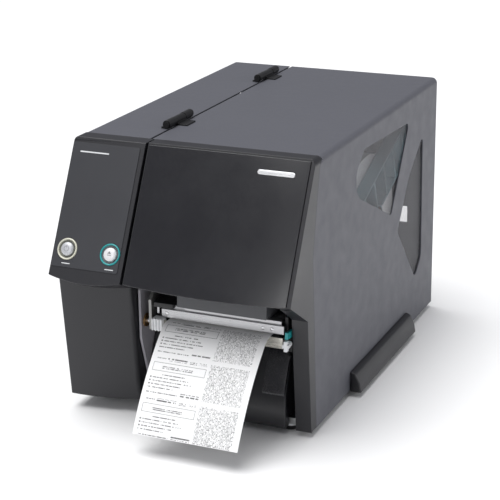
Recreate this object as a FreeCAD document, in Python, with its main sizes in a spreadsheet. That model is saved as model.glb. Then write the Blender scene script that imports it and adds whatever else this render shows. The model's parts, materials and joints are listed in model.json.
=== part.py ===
import FreeCAD, Part
import math
import os

import Sketcher

# Four-inch thermal label printer.  Every piece is drawn in the machine's own layout: x from the
# left side, y from the front crease of the top (rearwards positive), z from the floor.  Its
# Placement then moves it to the part's frame, whose origin is the middle of the footprint.

V = FreeCAD.Vector
doc = FreeCAD.newDocument("label_printer")

DRIVING_DIMENSIONS = (
    ("case_width", 248.0, "left side to right side"),
    ("case_depth", 350.0, "front crease of the top to the rear"),
    ("case_height", 270.0, "floor to the top of the covers"),
    ("strip_reach", 122.0, "how far the printed strip hangs in front of the crease"),
    ("grip_bulge", 12.0, "how far the grip stands out of the right side"),
    ("cover_bottom", 6.0, "floor to the bottom edge of the covers"),
    ("tray_bottom", 7.5, "floor to the underside of the tray"),
    ("sheet_metal", 1.5, "thickness of the folded covers"),
    ("skin", 2.5, "wall of the moulded pieces"),
    ("left_cover_width", 72.0, "top of the electronics cover"),
    ("door_left", 74.5, "left edge of the media cover's top"),
    ("wall_left", 73.0, "left face of the centre wall"),
    ("wall_gauge", 2.5, "thickness of the centre wall"),
    ("corner_round", 6.0, "bend radius of the covers"),
    ("lip_reach", 80.0, "lip of the slanted front, before the crease"),
    ("lip_height", 150.0, "floor to the lip of the slanted front"),
    ("brow_reach", 17.5, "top edge of the slanted front, before the crease"),
    ("bezel_right", 76.5, "right edge of the control bezel"),
    ("bezel_left", 78.0, "left edge of the door bezel"),
    ("leg_left", 232.0, "inner face of the door's front leg"),
    ("panel_gauge", 2.4, "thickness of the gloss panel at its edges"),
    ("panel_crown", 2.5, "how far the gloss panel bulges"),
    ("panel_sag", 3.5, "bow of the gloss panel's lower edge"),
    ("lip_sag", 5.0, "bow of the control bezel's lower edge"),
    ("button_rise", 26.4, "lip to the button centres, up the slope"),
    ("pause_across", 15.6, "pause button's centre"),
    ("feed_across", 61.4, "feed button's centre"),
    ("cap_radius", 7.9, "button cap"),
    ("ring_inner", 8.6, "bore of a button ring"),
    ("ring_outer", 10.4, "outside of a button ring"),
    ("platen_ahead", 28.0, "platen axis, before the crease"),
    ("platen_height", 96.0, "platen axis above the floor"),
    ("platen_radius", 8.0, "rubber of the platen"),
    ("platen_shaft_radius", 3.0, "steel of the platen"),
    ("running_gap", 0.05, "radial clearance of a running fit"),
    ("strip_left", 106.0, "left edge of the labels"),
    ("strip_width", 106.5, "width of the labels"),
    ("strip_gauge", 0.4, "liner and label together"),
    ("strip_height", 104.65, "label plane between head and platen"),
    ("roll_back", 219.0, "roll axis behind the crease"),
    ("roll_height", 118.0, "roll axis above the floor"),
    ("roll_radius", 92.0, "full roll"),
    ("core_radius", 41.0, "outside of the roll's core"),
    ("core_bore", 38.0, "inside of the roll's core"),
    ("damper_back", 76.0, "damper rod behind the crease"),
    ("damper_radius", 8.0, "damper rod"),
    ("hinge_across", 70.5, "cover hinge axis from the left side"),
    ("hinge_height", 274.2, "cover hinge axis above the floor"),
    ("knuckle_radius", 4.2, "fixed knuckles"),
    ("hinge_pin_radius", 1.5, "hinge pin"),
    ("front_hinge_back", 38.0, "front end of the front hinge"),
    ("rear_hinge_back", 260.0, "front end of the rear hinge"),
    ("hinge_length", 52.0, "length of one hinge"),
    ("head_pivot_back", 52.0, "print head pivot behind the crease"),
    ("head_pivot_height", 140.0, "print head pivot above the floor"),
    ("head_shaft_radius", 4.0, "print head pivot shaft"),
    ("latch_back", 20.0, "latch shaft behind the crease"),
    ("latch_height", 94.0, "latch shaft above the floor"),
    ("latch_shaft_radius", 3.0, "latch shaft"),
    ("mech_left", 85.0, "left mechanism plate"),
    ("mech_right", 224.0, "right mechanism plate"),
    ("mech_gauge", 3.0, "thickness of the mechanism plates"),
    ("rewind_back", 28.0, "ribbon rewind axis behind the crease"),
    ("rewind_height", 222.0, "ribbon rewind axis above the floor"),
    ("supply_back", 92.0, "ribbon supply axis behind the crease"),
    ("supply_height", 206.0, "ribbon supply axis above the floor"),
    ("axle_radius", 4.0, "axles of the ribbon spindles"),
    ("spindle_radius", 11.0, "ribbon spindles"),
    ("motor_back", 24.0, "motor axis behind the crease"),
    ("motor_height", 62.0, "motor axis above the floor"),
    ("big_pulley_radius", 12.0, "pulley on the platen"),
    ("small_pulley_radius", 8.0, "pulley on the motor"),
    ("rocker_back", 343.0, "power rocker axis behind the crease"),
    ("rocker_height", 32.0, "power rocker axis above the floor"),
)


class Size:
    """A size worked out from sheet cells: its expression and its value."""

    def __init__(self, text, value):
        self.text = text
        self.value = float(value)

    def __add__(self, other):
        return Size(f"({self.text} + {text_of(other)})", self.value + number(other))

    def __radd__(self, other):
        return self + other

    def __sub__(self, other):
        return Size(f"({self.text} - {text_of(other)})", self.value - number(other))

    def __rsub__(self, other):
        return Size(f"({text_of(other)} - {self.text})", number(other) - self.value)

    def __mul__(self, other):
        return Size(f"({self.text} * {text_of(other)})", self.value * number(other))

    def __rmul__(self, other):
        return self * other

    def __truediv__(self, other):
        return Size(f"({self.text} / {text_of(other)})", self.value / number(other))

    def __neg__(self):
        return Size(f"(0 - {self.text})", -self.value)


def number(size):
    """The value of a Size or a plain number."""
    return size.value if isinstance(size, Size) else float(size)


def text_of(size):
    """The expression of a Size or a plain number."""
    return size.text if isinstance(size, Size) else repr(float(size))


def root(size):
    """The square root of a Size."""
    return Size(f"sqrt({size.text})", math.sqrt(size.value))


class Cells:
    """The driving dimensions, one sheet cell each, as attributes that are Sizes."""

    def __init__(self, document, rows):
        sheet = document.addObject("Spreadsheet::Sheet", "Dims")
        for row, (alias, value, note) in enumerate(rows, start=1):
            sheet.set(f"A{row}", alias)
            sheet.set(f"B{row}", str(value))
            sheet.setAlias(f"B{row}", alias)
            sheet.set(f"C{row}", note)
            setattr(self, alias, Size(f"Dims.{alias}", value))
        document.recompute()


D = Cells(doc, DRIVING_DIMENSIONS)

CENTRE_X = (D.case_width + D.grip_bulge) / 2
CENTRE_Y = (D.case_depth - D.strip_reach) / 2
SLOPE_RUN = D.lip_reach - D.brow_reach
SLOPE_RISE = D.case_height - D.lip_height
SLOPE_ANGLE = Size(
    f"atan({(SLOPE_RISE / SLOPE_RUN).text})",
    math.degrees(math.atan2(SLOPE_RISE.value, SLOPE_RUN.value)),
)
WALL_RIGHT = D.wall_left + D.wall_gauge
MECH_LEFT_INNER = D.mech_left + D.mech_gauge
MECH_RIGHT_OUTER = D.mech_right + D.mech_gauge
STRIP_RIGHT = D.strip_left + D.strip_width
REAR_PANEL_FRONT = D.case_depth - 4.5
REAR_PANEL_BACK = D.case_depth - 3.0
PLATEN = (-D.platen_ahead, D.platen_height)
MOTOR = (D.motor_back, D.motor_height)
HEAD_PIVOT = (D.head_pivot_back, D.head_pivot_height)
LATCH = (D.latch_back, D.latch_height)
REWIND = (D.rewind_back, D.rewind_height)
SUPPLY = (D.supply_back, D.supply_height)
ROLL = (D.roll_back, D.roll_height)
KNOB = (228.7, 97.5)
DAMPER_HEIGHT = D.strip_height + D.strip_gauge / 2 + 0.3 + D.damper_radius

nodes = []


def bind(obj, path, size):
    """Set a property to a number, or tie it to the sheet."""
    if isinstance(size, Size):
        obj.setExpression(path, size.text)
    else:
        owner = obj
        *parents, last = path.strip(".").split(".")
        if parents:
            raise ValueError(f"{path} takes a Size")
        setattr(owner, last, size)


def as_size(value):
    """A plain number as a Size."""
    return value if isinstance(value, Size) else Size(repr(float(value)), value)


def place(obj, at, turn=None):
    """Put an object's origin at a point, turned by a rotation or by a Size about X."""
    if isinstance(turn, FreeCAD.Rotation):
        obj.Placement = FreeCAD.Placement(V(0, 0, 0), turn)
    elif turn is not None:
        obj.Placement = FreeCAD.Placement(V(0, 0, 0), FreeCAD.Rotation(V(1, 0, 0), turn.value))
        obj.setExpression(".Placement.Rotation.Angle", turn.text)
    for axis, size in zip("xyz", at):
        obj.setExpression(f".Placement.Base.{axis}", as_size(size).text)
    return obj


def keep(obj, label, at=(0, 0, 0), turn=None):
    """Name a finished sub-part and move it to the part's frame."""
    if obj.isDerivedFrom("Part::Primitive"):
        obj = group(obj)
    obj.Label = label
    place(obj, (as_size(at[0]) - CENTRE_X, as_size(at[1]) - CENTRE_Y, at[2]), turn)
    nodes.append(obj)
    return obj


def keep_on_slope(obj, label):
    """Name a sub-part drawn in the slope's own layout: x, up the slope, out of it."""
    return keep(obj, label, (0, -D.lip_reach, D.lip_height), SLOPE_ANGLE)


def on_slope(obj, across, up, out):
    """Turn a primitive to the slope, its origin at a point given in the slope's layout."""
    angle = math.radians(SLOPE_ANGLE.value)
    cosine = Size(f"cos({SLOPE_ANGLE.text})", math.cos(angle))
    sine = Size(f"sin({SLOPE_ANGLE.text})", math.sin(angle))
    up = as_size(up)
    out = as_size(out)
    back = up * cosine - out * sine - D.lip_reach
    height = up * sine + out * cosine + D.lip_height
    return place(obj, (across, back, height), SLOPE_ANGLE)


def block(x, y, z):
    """A box from pairs of faces."""
    box = doc.addObject("Part::Box", "Block")
    for name, (low, high) in zip(("Length", "Width", "Height"), (x, y, z)):
        bind(box, name, as_size(high) - low)
    return place(box, (x[0], y[0], z[0]))


TURNS = {
    "X": FreeCAD.Rotation(V(0, 1, 0), 90),
    "Y": FreeCAD.Rotation(V(1, 0, 0), -90),
    "Z": FreeCAD.Rotation(),
}


def rod(along, radius, ends, centre):
    """A cylinder along an axis; centre holds its other two coordinates in x, y, z order."""
    cylinder = doc.addObject("Part::Cylinder", "Rod")
    bind(cylinder, "Radius", as_size(radius))
    bind(cylinder, "Height", as_size(ends[1]) - ends[0])
    start = list(centre)
    start.insert("XYZ".index(along), ends[0])
    return place(cylinder, start, TURNS[along])


def cone(low_radius, high_radius, ends, centre):
    """An upright cone frustum."""
    shape = doc.addObject("Part::Cone", "Cone")
    bind(shape, "Radius1", as_size(low_radius))
    bind(shape, "Radius2", as_size(high_radius))
    bind(shape, "Height", as_size(ends[1]) - ends[0])
    return place(shape, (*centre, ends[0]))


def cut(base, *tools):
    """Take tools away from a base, one after another."""
    for tool in tools:
        result = doc.addObject("Part::Cut", "Cut")
        result.Base = base
        result.Tool = tool
        base = result
    return base


def fuse(*shapes):
    """Join touching shapes into one solid."""
    result = doc.addObject("Part::MultiFuse", "Fuse")
    result.Shapes = list(shapes)
    result.Refine = True
    return result


def group(*shapes):
    """Several separate solids as one sub-part."""
    result = doc.addObject("Part::Compound", "Group")
    result.Links = list(shapes)
    return result


def common(base, tool):
    """What two shapes share."""
    result = doc.addObject("Part::Common", "Common")
    result.Base = base
    result.Tool = tool
    return result


def tube(along, outer, inner, ends, centre):
    """A round tube; its bore runs a little past both ends."""
    bore_ends = (as_size(ends[0]) - 1, as_size(ends[1]) + 1)
    return cut(rod(along, outer, ends, centre), rod(along, inner, bore_ends, centre))


def new_body():
    """An empty PartDesign body."""
    return doc.addObject("PartDesign::Body", "Body")


def sketch_on(body, plane, offset):
    """An empty sketch on one of the body's origin planes, moved along the plane's normal."""
    sketch = body.newObject("Sketcher::SketchObject", "Outline")
    support = [item for item in body.Origin.OriginFeatures if item.Role == f"{plane}_Plane"][0]
    sketch.AttachmentSupport = [(support, "")]
    sketch.MapMode = "FlatFace"
    sketch.setExpression("AttachmentOffset.Base.z", as_size(offset).text)
    return sketch


def tie(sketch, kind, geometry, point, size):
    """Fix one coordinate of a sketch point, measured from the sketch's origin."""
    constraint = Sketcher.Constraint(kind, -1, 1, geometry, point, number(size))
    index = sketch.addConstraint(constraint)
    if isinstance(size, Size):
        sketch.setExpression(f"Constraints[{index}]", size.text)


def arc_through(start, end, radius):
    """The minor arc between two points; a positive radius bulges to the right of travel."""
    chord = end - start
    rise = math.sqrt(radius * radius - chord.Length ** 2 / 4)
    left = V(-chord.y, chord.x, 0).normalize()
    centre = (start + end) / 2 + left * math.copysign(rise, radius)
    angles = [math.atan2(spot.y - centre.y, spot.x - centre.x) for spot in (start, end)]
    if radius < 0:
        angles.reverse()
    if angles[1] < angles[0]:
        angles[1] += 2 * math.pi
    return Part.ArcOfCircle(Part.Circle(centre, V(0, 0, 1), abs(radius)), *angles)


def draw_outline(sketch, points, arcs=None):
    """Add one closed outline; arcs maps an edge's number to its signed radius."""
    arcs = arcs or {}
    first = sketch.GeometryCount
    corners = [V(number(u), number(w), 0) for u, w in points]
    count = len(corners)
    starts = []
    for index, start in enumerate(corners):
        end = corners[(index + 1) % count]
        if index in arcs:
            edge = arc_through(start, end, number(arcs[index]))
            sketch.addGeometry(edge)
            forward = (edge.StartPoint - start).Length < 1e-6
            starts.append(1 if forward else 2)
        else:
            sketch.addGeometry(Part.LineSegment(start, end))
            starts.append(1)
    for index in range(count):
        after = (index + 1) % count
        sketch.addConstraint(Sketcher.Constraint(
            "Coincident", first + index, 3 - starts[index], first + after, starts[after]))
    for index, (u, w) in enumerate(points):
        tie(sketch, "DistanceX", first + index, starts[index], u)
        tie(sketch, "DistanceY", first + index, starts[index], w)
    for index, radius in arcs.items():
        constraint = Sketcher.Constraint("Radius", first + index, abs(number(radius)))
        place_in_list = sketch.addConstraint(constraint)
        if isinstance(radius, Size):
            expression = radius.text if radius.value > 0 else (-radius).text
            sketch.setExpression(f"Constraints[{place_in_list}]", expression)


def draw_circle(sketch, centre, radius):
    """Add one circle, its centre and radius tied to the sheet."""
    middle = V(number(centre[0]), number(centre[1]), 0)
    index = sketch.addGeometry(Part.Circle(middle, V(0, 0, 1), number(radius)))
    tie(sketch, "DistanceX", index, 3, centre[0])
    tie(sketch, "DistanceY", index, 3, centre[1])
    constraint = sketch.addConstraint(Sketcher.Constraint("Radius", index, number(radius)))
    if isinstance(radius, Size):
        sketch.setExpression(f"Constraints[{constraint}]", radius.text)


def fill_sketch(sketch, outlines, circles, arcs):
    """Draw outlines and circles; arcs belong to the first outline."""
    for index, points in enumerate(outlines):
        draw_outline(sketch, points, arcs if index == 0 else None)
    for centre, radius in circles:
        draw_circle(sketch, centre, radius)


def pad(body, plane, span, outlines=(), circles=(), arcs=None, shear=None):
    """Grow outlines between two distances along the plane's normal axis."""
    low, high = as_size(span[0]), as_size(span[1])
    offset = -high if plane == "XZ" else low
    sketch = sketch_on(body, plane, offset)
    fill_sketch(sketch, outlines, circles, arcs)
    feature = body.newObject("PartDesign::Pad", "Pad")
    feature.Profile = sketch
    bind(feature, "Length", high - low)
    if shear is not None:
        feature.UseCustomVector = True
        feature.Direction = shear
        feature.AlongSketchNormal = True
    doc.recompute()
    return body


def pocket(body, plane, span, outlines=(), circles=(), arcs=None):
    """Cut outlines out between two distances along the plane's normal axis."""
    before = body.Shape.Volume
    low, high = as_size(span[0]), as_size(span[1])
    offset = -low if plane == "XZ" else high
    sketch = sketch_on(body, plane, offset)
    fill_sketch(sketch, outlines, circles, arcs)
    feature = body.newObject("PartDesign::Pocket", "Pocket")
    feature.Profile = sketch
    bind(feature, "Length", high - low)
    doc.recompute()
    if body.Shape.Volume >= before:
        raise RuntimeError(f"a pocket of {body.Label} cut nothing")
    return body


def soften(body, radius, chosen):
    """Round the edges that chosen(edge) accepts."""
    names = [f"Edge{i}" for i, edge in enumerate(body.Tip.Shape.Edges, 1) if chosen(edge)]
    if not names:
        raise RuntimeError(f"{body.Label} has no edge to round")
    base = body.Tip
    feature = body.newObject("PartDesign::Fillet", "Round")
    feature.Base = (base, names)
    bind(feature, "Radius", as_size(radius))
    doc.recompute()
    return body


def along(axis, *places):
    """Pick straight edges along an axis that pass through given points of its cross-plane."""
    index = "XYZ".index(axis)

    def chosen(edge):
        ends = [vertex.Point for vertex in edge.Vertexes]
        if len(ends) != 2 or edge.Curve.TypeId != "Part::GeomLine":
            return False
        flat = [[value for i, value in enumerate(end) if i != index] for end in ends]
        if math.dist(flat[0], flat[1]) > 0.01:
            return False
        return any(math.dist(flat[0], [number(v) for v in spot]) < 0.05 for spot in places)

    return chosen


def rectangle(u, w):
    """The corners of an upright rectangle."""
    return [(u[0], w[0]), (u[1], w[0]), (u[1], w[1]), (u[0], w[1])]


def bow_radius(chord, sag):
    """Radius of the arc with a chord and a sag."""
    return chord * chord / (8 * sag) + sag / 2


# ---------------------------------------------------------------- chassis


RIGHT_SEAM = [(-15.5, 0), (-25, 178), (-16.5, 223.5), (-7.5, 263.5), (0, 266), (0, 285)]
LEFT_SEAM = [(-16, 0), (-16, 15), (-28, 140), (-25, 178), (-16.5, 223.5), (-7.5, 263.5),
             (0, 266), (0, 285)]


def base_tray():
    """Folded steel floor of the chassis, notched beside the door's front leg."""
    side = (D.sheet_metal, D.case_width - 4)
    ends = (-20.0, REAR_PANEL_FRONT - 0.5)
    top = D.tray_bottom + 6.5
    body = pad(new_body(), "XY", (D.tray_bottom, top), [rectangle(side, ends)])
    inner = rectangle((side[0] + D.sheet_metal, side[1] - D.sheet_metal),
                      (ends[0] + D.sheet_metal, ends[1] - D.sheet_metal))
    pocket(body, "XY", (D.tray_bottom + D.sheet_metal, top + 1), [inner])
    notch = rectangle((D.leg_left - 2, side[1] + 1), (-21, -12))
    pocket(body, "XY", (D.tray_bottom - 1, top + 1), [notch])
    keep(body, "base_tray")


def centre_wall():
    """Upright steel plate between the electronics and the media bay."""
    foot = D.tray_bottom + D.sheet_metal
    flange = (REAR_PANEL_FRONT - 0.6 - D.sheet_metal, D.tray_bottom + 6.6)
    outline = [(-18.4, foot), (-18.4, 14.5), (-38, 80), (-38, 130), (-26.5, 138), (-25, 145),
               (-13, 223), (-5, 258), (REAR_PANEL_FRONT, 258), (REAR_PANEL_FRONT, flange[1]),
               flange, (flange[0], foot)]
    body = pad(new_body(), "YZ", (D.wall_left, WALL_RIGHT), [outline])
    holes = [(PLATEN, 5.0), (REWIND, D.axle_radius), (SUPPLY, D.axle_radius)]
    cable_way = rectangle((120, 160), (20, 34))
    pocket(body, "YZ", (D.wall_left - 1, WALL_RIGHT + 1), [cable_way], holes)
    soften(body, 4.0, along("X", *cable_way))
    keep(body, "centre_wall")


def rear_panel():
    """Flat steel back with the cut-outs for the inlet, the rocker, the ports and fan-fold."""
    right = D.case_width - 4
    top = D.case_height - 1.8
    face = [(D.sheet_metal, D.tray_bottom), (right, D.tray_bottom), (right, 262), (73.5, 262),
            (73.5, top), (8, top), (D.sheet_metal, 261.5)]
    body = pad(new_body(), "XZ", (REAR_PANEL_FRONT, REAR_PANEL_BACK), [face])
    cut_outs = [
        rectangle((15.5, 40.5), (21, 43)),
        rectangle((51.5, 64.5), (21.5, 42.5)),
        rectangle((41.5, 54.5), (75.5, 86.5)),
        rectangle((37.5, 54.5), (95.5, 109.5)),
        rectangle((41.5, 54.5), (121.5, 152.5)),
        rectangle((92, 218), (100, 119)),
    ]
    vents = [rectangle((10, 62), (z, z + 3)) for z in range(176, 240, 8)]
    through = (REAR_PANEL_FRONT - 1, REAR_PANEL_BACK + 1)
    pocket(body, "XZ", through, cut_outs + vents)
    keep(body, "rear_panel")


def seam_cut(seam):
    """The region in front of a cover's seam."""
    return seam + [(-45, 285), (-45, 0)]


def electronics_cover():
    """Folded steel cover: the left side and the left part of the top, with side vents."""
    inner = D.case_height - D.sheet_metal
    fold = [(0, 7), (D.sheet_metal, 7), (D.sheet_metal, inner), (D.left_cover_width, inner),
            (D.left_cover_width, D.case_height), (0, D.case_height)]
    body = pad(new_body(), "XZ", (-40, D.case_depth), [fold])
    soften(body, D.corner_round, along("Y", (0, D.case_height)))
    soften(body, D.corner_round - D.sheet_metal, along("Y", (D.sheet_metal, inner)))
    pocket(body, "YZ", (-1, D.left_cover_width + 1), [seam_cut(LEFT_SEAM)])
    vents = [rectangle((y, y + 4), (46, 96)) for y in range(200, 318, 10)]
    pocket(body, "YZ", (-1, D.sheet_metal + 1), vents)
    keep(body, "electronics_cover")


def control_bezel():
    """Hollow moulding of the slanted left front, its lower edge bowed, with two button holes."""
    body = pad(new_body(), "YZ", (0, D.bezel_right), [[
        (0, D.case_height), (-D.brow_reach, D.case_height), (-83.1, 144), (-75.4, 140),
        (-28, 140), (-25, 178), (-16.5, 223.5), (-7.5, 263.5)]])
    hollow = [(6, D.case_height - D.skin), (-16, D.case_height - D.skin), (-76.4, 151.5),
              (-59.1, 142.5), (6, 142.5)]
    pocket(body, "YZ", (D.skin, D.bezel_right - D.skin), [hollow])
    soften(body, 4.0, along("Y", (0, D.case_height)))
    bow = bow_radius(D.bezel_right, D.lip_sag)
    below = doc.addObject("Part::Box", "Below")
    bind(below, "Length", D.bezel_right + 2)
    bind(below, "Width", as_size(20.0))
    bind(below, "Height", as_size(60.0))
    on_slope(below, -1, -20, -50)
    inside = doc.addObject("Part::Cylinder", "Bow")
    bind(inside, "Radius", bow)
    bind(inside, "Height", as_size(70.0))
    on_slope(inside, D.bezel_right / 2, bow - D.lip_sag, -55)
    holes = []
    for across in (D.pause_across, D.feed_across):
        hole = doc.addObject("Part::Cylinder", "Hole")
        bind(hole, "Radius", D.ring_inner)
        bind(hole, "Height", as_size(12.0))
        holes.append(on_slope(hole, across, D.button_rise, -8))
    keep(cut(body, cut(below, inside), *holes), "control_bezel")


def control_overlay():
    """Thin printed film over the slanted control panel."""
    body = pad(new_body(), "XY", (0, 0.6), [rectangle((1.2, 72), (9, 130))])
    holes = [((across, D.button_rise), D.ring_outer + 0.3)
             for across in (D.pause_across, D.feed_across)]
    pocket(body, "XY", (-1, 2), circles=holes)
    soften(body, 2.0, along("Z", (1.2, 9), (72, 9), (1.2, 130), (72, 130)))
    keep_on_slope(body, "control_overlay")


def button_ring(label, across):
    """Raised round rim about a button."""
    body = pad(new_body(), "XY", (0, 1.8), circles=[
        ((across, D.button_rise), D.ring_outer), ((across, D.button_rise), D.ring_inner)])
    keep_on_slope(body, label)


def button(label, across):
    """Push button: domed cap, retaining flange and plunger."""
    spot = (across, D.button_rise)
    body = pad(new_body(), "XY", (-5.2, 2.6), circles=[(spot, D.cap_radius)])
    pad(body, "XY", (-5.2, -2.6), circles=[(spot, D.cap_radius + 2)])
    pad(body, "XY", (-8.2, -5.2), circles=[(spot, 2.0)])
    top = 2.6

    def rim(edge):
        return len(edge.Vertexes) == 1 and abs(edge.Vertexes[0].Z - top) < 1e-3

    soften(body, 1.4, rim)
    keep_on_slope(body, label)


def control_board():
    """Small circuit board behind the control panel, with its two switches."""
    pieces = []
    for x, up, out in (((6, 70), (12, 52), (-12.6, -11)),
                       ((D.pause_across - 3, D.pause_across + 3), (23.4, 29.4), (-11, -9.8)),
                       ((D.feed_across - 3, D.feed_across + 3), (23.4, 29.4), (-11, -9.8)),
                       ((30, 46), (34, 44), (-14.6, -12.6))):
        pieces.append(block(x, up, out))
    for spot in ((9, 14.5), (67, 14.5), (9, 49), (67, 49)):
        pieces.append(rod("Z", 2.0, (-11, -D.skin), spot))
    keep_on_slope(fuse(*pieces), "control_board")


COLUMN_SHEAR = V(0, -12, 125)


def column_section(left, right, front, back):
    """The column's level section: a front that falls back to the right, slightly bowed."""
    return [(left, back), (left, front), (right, front + 12 * (right - left) / 72),
            (right, back)]


def front_column():
    """Hollow moulding below the control panel, leaning forward as it rises."""
    outer = pad(new_body(), "XY", (15, 140), [
        column_section(0, D.left_cover_width, -50, -16)], arcs={1: 190.0}, shear=COLUMN_SHEAR)
    leaning = [(D.left_cover_width.value, 6.0), (0.0, 2.0)]
    for x, radius in leaning:
        def front_edge(edge, x=x):
            ends = [vertex.Point for vertex in edge.Vertexes]
            return (len(ends) == 2 and abs(ends[0].x - x) < 0.01 and abs(ends[1].x - x) < 0.01
                    and abs(ends[0].z - ends[1].z) > 100 and max(p.y for p in ends) < -36)
        soften(outer, radius, front_edge)
    inner = pad(new_body(), "XY", (15 + D.skin, 150), [
        column_section(D.skin, D.left_cover_width - D.skin, -47, 5)], arcs={1: 190.0},
        shear=COLUMN_SHEAR)
    shaft_way = rod("X", 6.5, (D.left_cover_width - 5, D.left_cover_width + 1), PLATEN)
    keep(cut(outer, inner, shaft_way), "front_column")


def lower_front_cover():
    """Moulded cover below the label outlet, its top sloping back."""
    body = pad(new_body(), "YZ", (D.bezel_right, 222), [[
        (-31, 6.5), (-29.5, 41), (-10, 80), (-3, 80), (-3, 16), (-21, 16), (-21, 6.5)]])
    hollow = [(0, 77.5), (-8.4, 77.5), (-27, 40.4), (-28.5, 5), (0, 5)]
    pocket(body, "YZ", (D.bezel_right + D.skin, 219.5), [hollow])
    keep(body, "lower_front_cover")


def front_ledge_pad():
    """Smooth raised pad on the right of the lower cover's slope."""
    body = pad(new_body(), "YZ", (199, 221.6), [[
        (-29.5, 41), (-32.4, 40.6), (-32.2, 43.4), (-12.7, 81.3), (-10, 80)]], arcs={2: -190.0})
    keep(body, "front_ledge_pad")


FOOT_PLACES = ((22, -8), (22, 330), (219.5, -9.5), (222, 330))


def feet():
    """Four rubber feet and the light cups that hold them to the tray."""
    rubber = []
    cups = []
    for spot in FOOT_PLACES:
        rubber.append(cone(8.4, 9.5, (0, 5), spot))
        cups.append(rod("Z", 10.4, (5, D.tray_bottom), spot))
    keep(group(*rubber), "rubber_feet")
    keep(group(*cups), "foot_cups")


def case_screws():
    """Pan-head screws of the back."""
    heads = []
    for spot in ((10, 14), (68, 60), (10, 254), (68, 254), (90, 20), (228, 20), (228, 250),
                 (90, 250)):
        head = rod("Y", 3.2, (REAR_PANEL_BACK, D.case_depth - 1.2), spot)
        slot = block((spot[0] - 2.2, spot[0] + 2.2), (D.case_depth - 2, D.case_depth),
                     (spot[1] - 0.5, spot[1] + 0.5))
        cross = block((spot[0] - 0.5, spot[0] + 0.5), (D.case_depth - 2, D.case_depth),
                      (spot[1] - 2.2, spot[1] + 2.2))
        heads.append(cut(head, slot, cross))
    keep(group(*heads), "case_screws")


# ---------------------------------------------------------------- electronics


def main_board():
    """Logic board beside the centre wall, with its chips and connectors."""
    board = block((54, 55.6), (150, 334), (66, 168))
    parts = [board]
    for y, z, x in (((170, 198), (96, 124), 52.4), ((210, 228), (84, 98), 52.6),
                    ((236, 254), (84, 98), 52.6), ((214, 250), (130, 150), 52.8),
                    ((160, 168), (136, 162), 46.0), ((176, 204), (150, 160), 44.0),
                    ((270, 300), (150, 160), 44.0), ((276, 298), (96, 118), 52.6)):
        parts.append(block((x, 54), y, z))
    for y in (268, 282, 296):
        parts.append(rod("X", 5.0, (42, 54), (y, 78)))
    keep(fuse(*parts), "main_board")


def power_supply():
    """Open-frame power supply on the tray."""
    parts = [block((8, 64), (180, 318), (16, 17.6)), block((14, 42), (220, 252), (17.6, 44)),
             block((50, 53), (190, 300), (17.6, 46)), block((14, 40), (270, 290), (17.6, 36)),
             block((12, 30), (186, 206), (17.6, 30))]
    for y in (262, 304):
        parts.append(rod("Z", 8.0, (17.6, 48), (24, y)))
    for spot in ((12, 184), (12, 314), (60, 184), (60, 314)):
        parts.append(rod("Z", 2.5, (D.tray_bottom + D.sheet_metal, 16), spot))
    keep(fuse(*parts), "power_supply")


def power_inlet():
    """Mains inlet: flanged housing, cavity and three blades."""
    housing = block((15.5, 40.5), (326, REAR_PANEL_BACK), (21, 43))
    flange = block((10, 46), (REAR_PANEL_BACK, D.case_depth - 1.2), (18.5, 45.5))
    cavity = block((17, 39), (331, D.case_depth), (24, 40.5))
    blades = [block((x - 2, x + 2), (329, 345), (z - 1, z + 1))
              for x, z in ((21.5, 29), (28, 34), (34.5, 29))]
    shell = cut(fuse(housing, flange), cavity)
    keep(fuse(shell, *blades), "power_inlet")


def data_ports():
    """The three data sockets: a square one, a network jack and a nine-way serial shell."""
    back = D.case_depth - 2.2
    square = cut(block((42, 54), (332, back), (76, 88.0 - 2)),
                 block((43.5, 52.5), (336, D.case_depth), (77.2, 84.8)))
    tongue = block((46, 50), (334, 346), (79.6, 82.4))
    jack = cut(block((38, 54), (326, back), (96, 109)),
               block((40, 52), (332, D.case_depth), (98, 107)))
    serial = cut(block((42, 54), (334, back), (122, 152)),
                 block((43.5, 52.5), (341, D.case_depth), (124, 150)))
    pins = [rod("Y", 0.5, (339, 346), (x, z)) for x, row in ((46.5, range(5)), (49.5, range(4)))
            for z in (131.5 + 2.75 * i + (1.4 if x > 48 else 0) for i in row)]
    keep(group(fuse(square, tongue), jack, fuse(serial, *pins)), "data_ports")


def rocker_housing():
    """Frame of the power rocker, with pivot holes in its sides."""
    body = block((51.5, 64.5), (330, REAR_PANEL_BACK), (21.5, 42.5))
    flange = block((49.5, 66.5), (REAR_PANEL_BACK, D.case_depth - 1.6), (19.5, 44.5))
    cavity = block((53, 63), (333, D.case_depth), (23, 41))
    pivot = rod("X", 1.5 + D.running_gap, (50, 66), (D.rocker_back, D.rocker_height))
    keep(cut(fuse(body, flange), cavity, pivot), "rocker_housing")


def power_rocker():
    """Rocker paddle on its pivot, tipped to one side at rest."""
    drum = rod("X", 8.3, (53.4, 62.6), (D.rocker_back, D.rocker_height))
    paddle = new_body()
    pad(paddle, "YZ", (53.4, 62.6), [[(-6, -9), (4.6, -9), (3, 0), (4.6, 9), (-6, 9)]])
    place(paddle, (0, D.rocker_back, D.rocker_height), as_size(-10.0))
    pivot = rod("X", 1.5, (51.7, 64.3), (D.rocker_back, D.rocker_height))
    keep(fuse(common(drum, paddle), pivot), "power_rocker")


def stepper_motor():
    """Stepper motor on four studs that hold it to the centre wall."""
    half = 21.0
    case = block((16, 54), (D.motor_back - half, D.motor_back + half),
                 (D.motor_height - half, D.motor_height + half))
    boss = rod("X", 11.0, (54, 56), MOTOR)
    shaft_way = rod("X", 2.5 + D.running_gap, (40, 57), MOTOR)
    studs = [rod("X", 2.5, (50, D.wall_left), (D.motor_back + y, D.motor_height + z))
             for y in (-15.5, 15.5) for z in (-15.5, 15.5)]
    keep(fuse(cut(fuse(case, boss), shaft_way), *studs), "stepper_motor")


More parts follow.
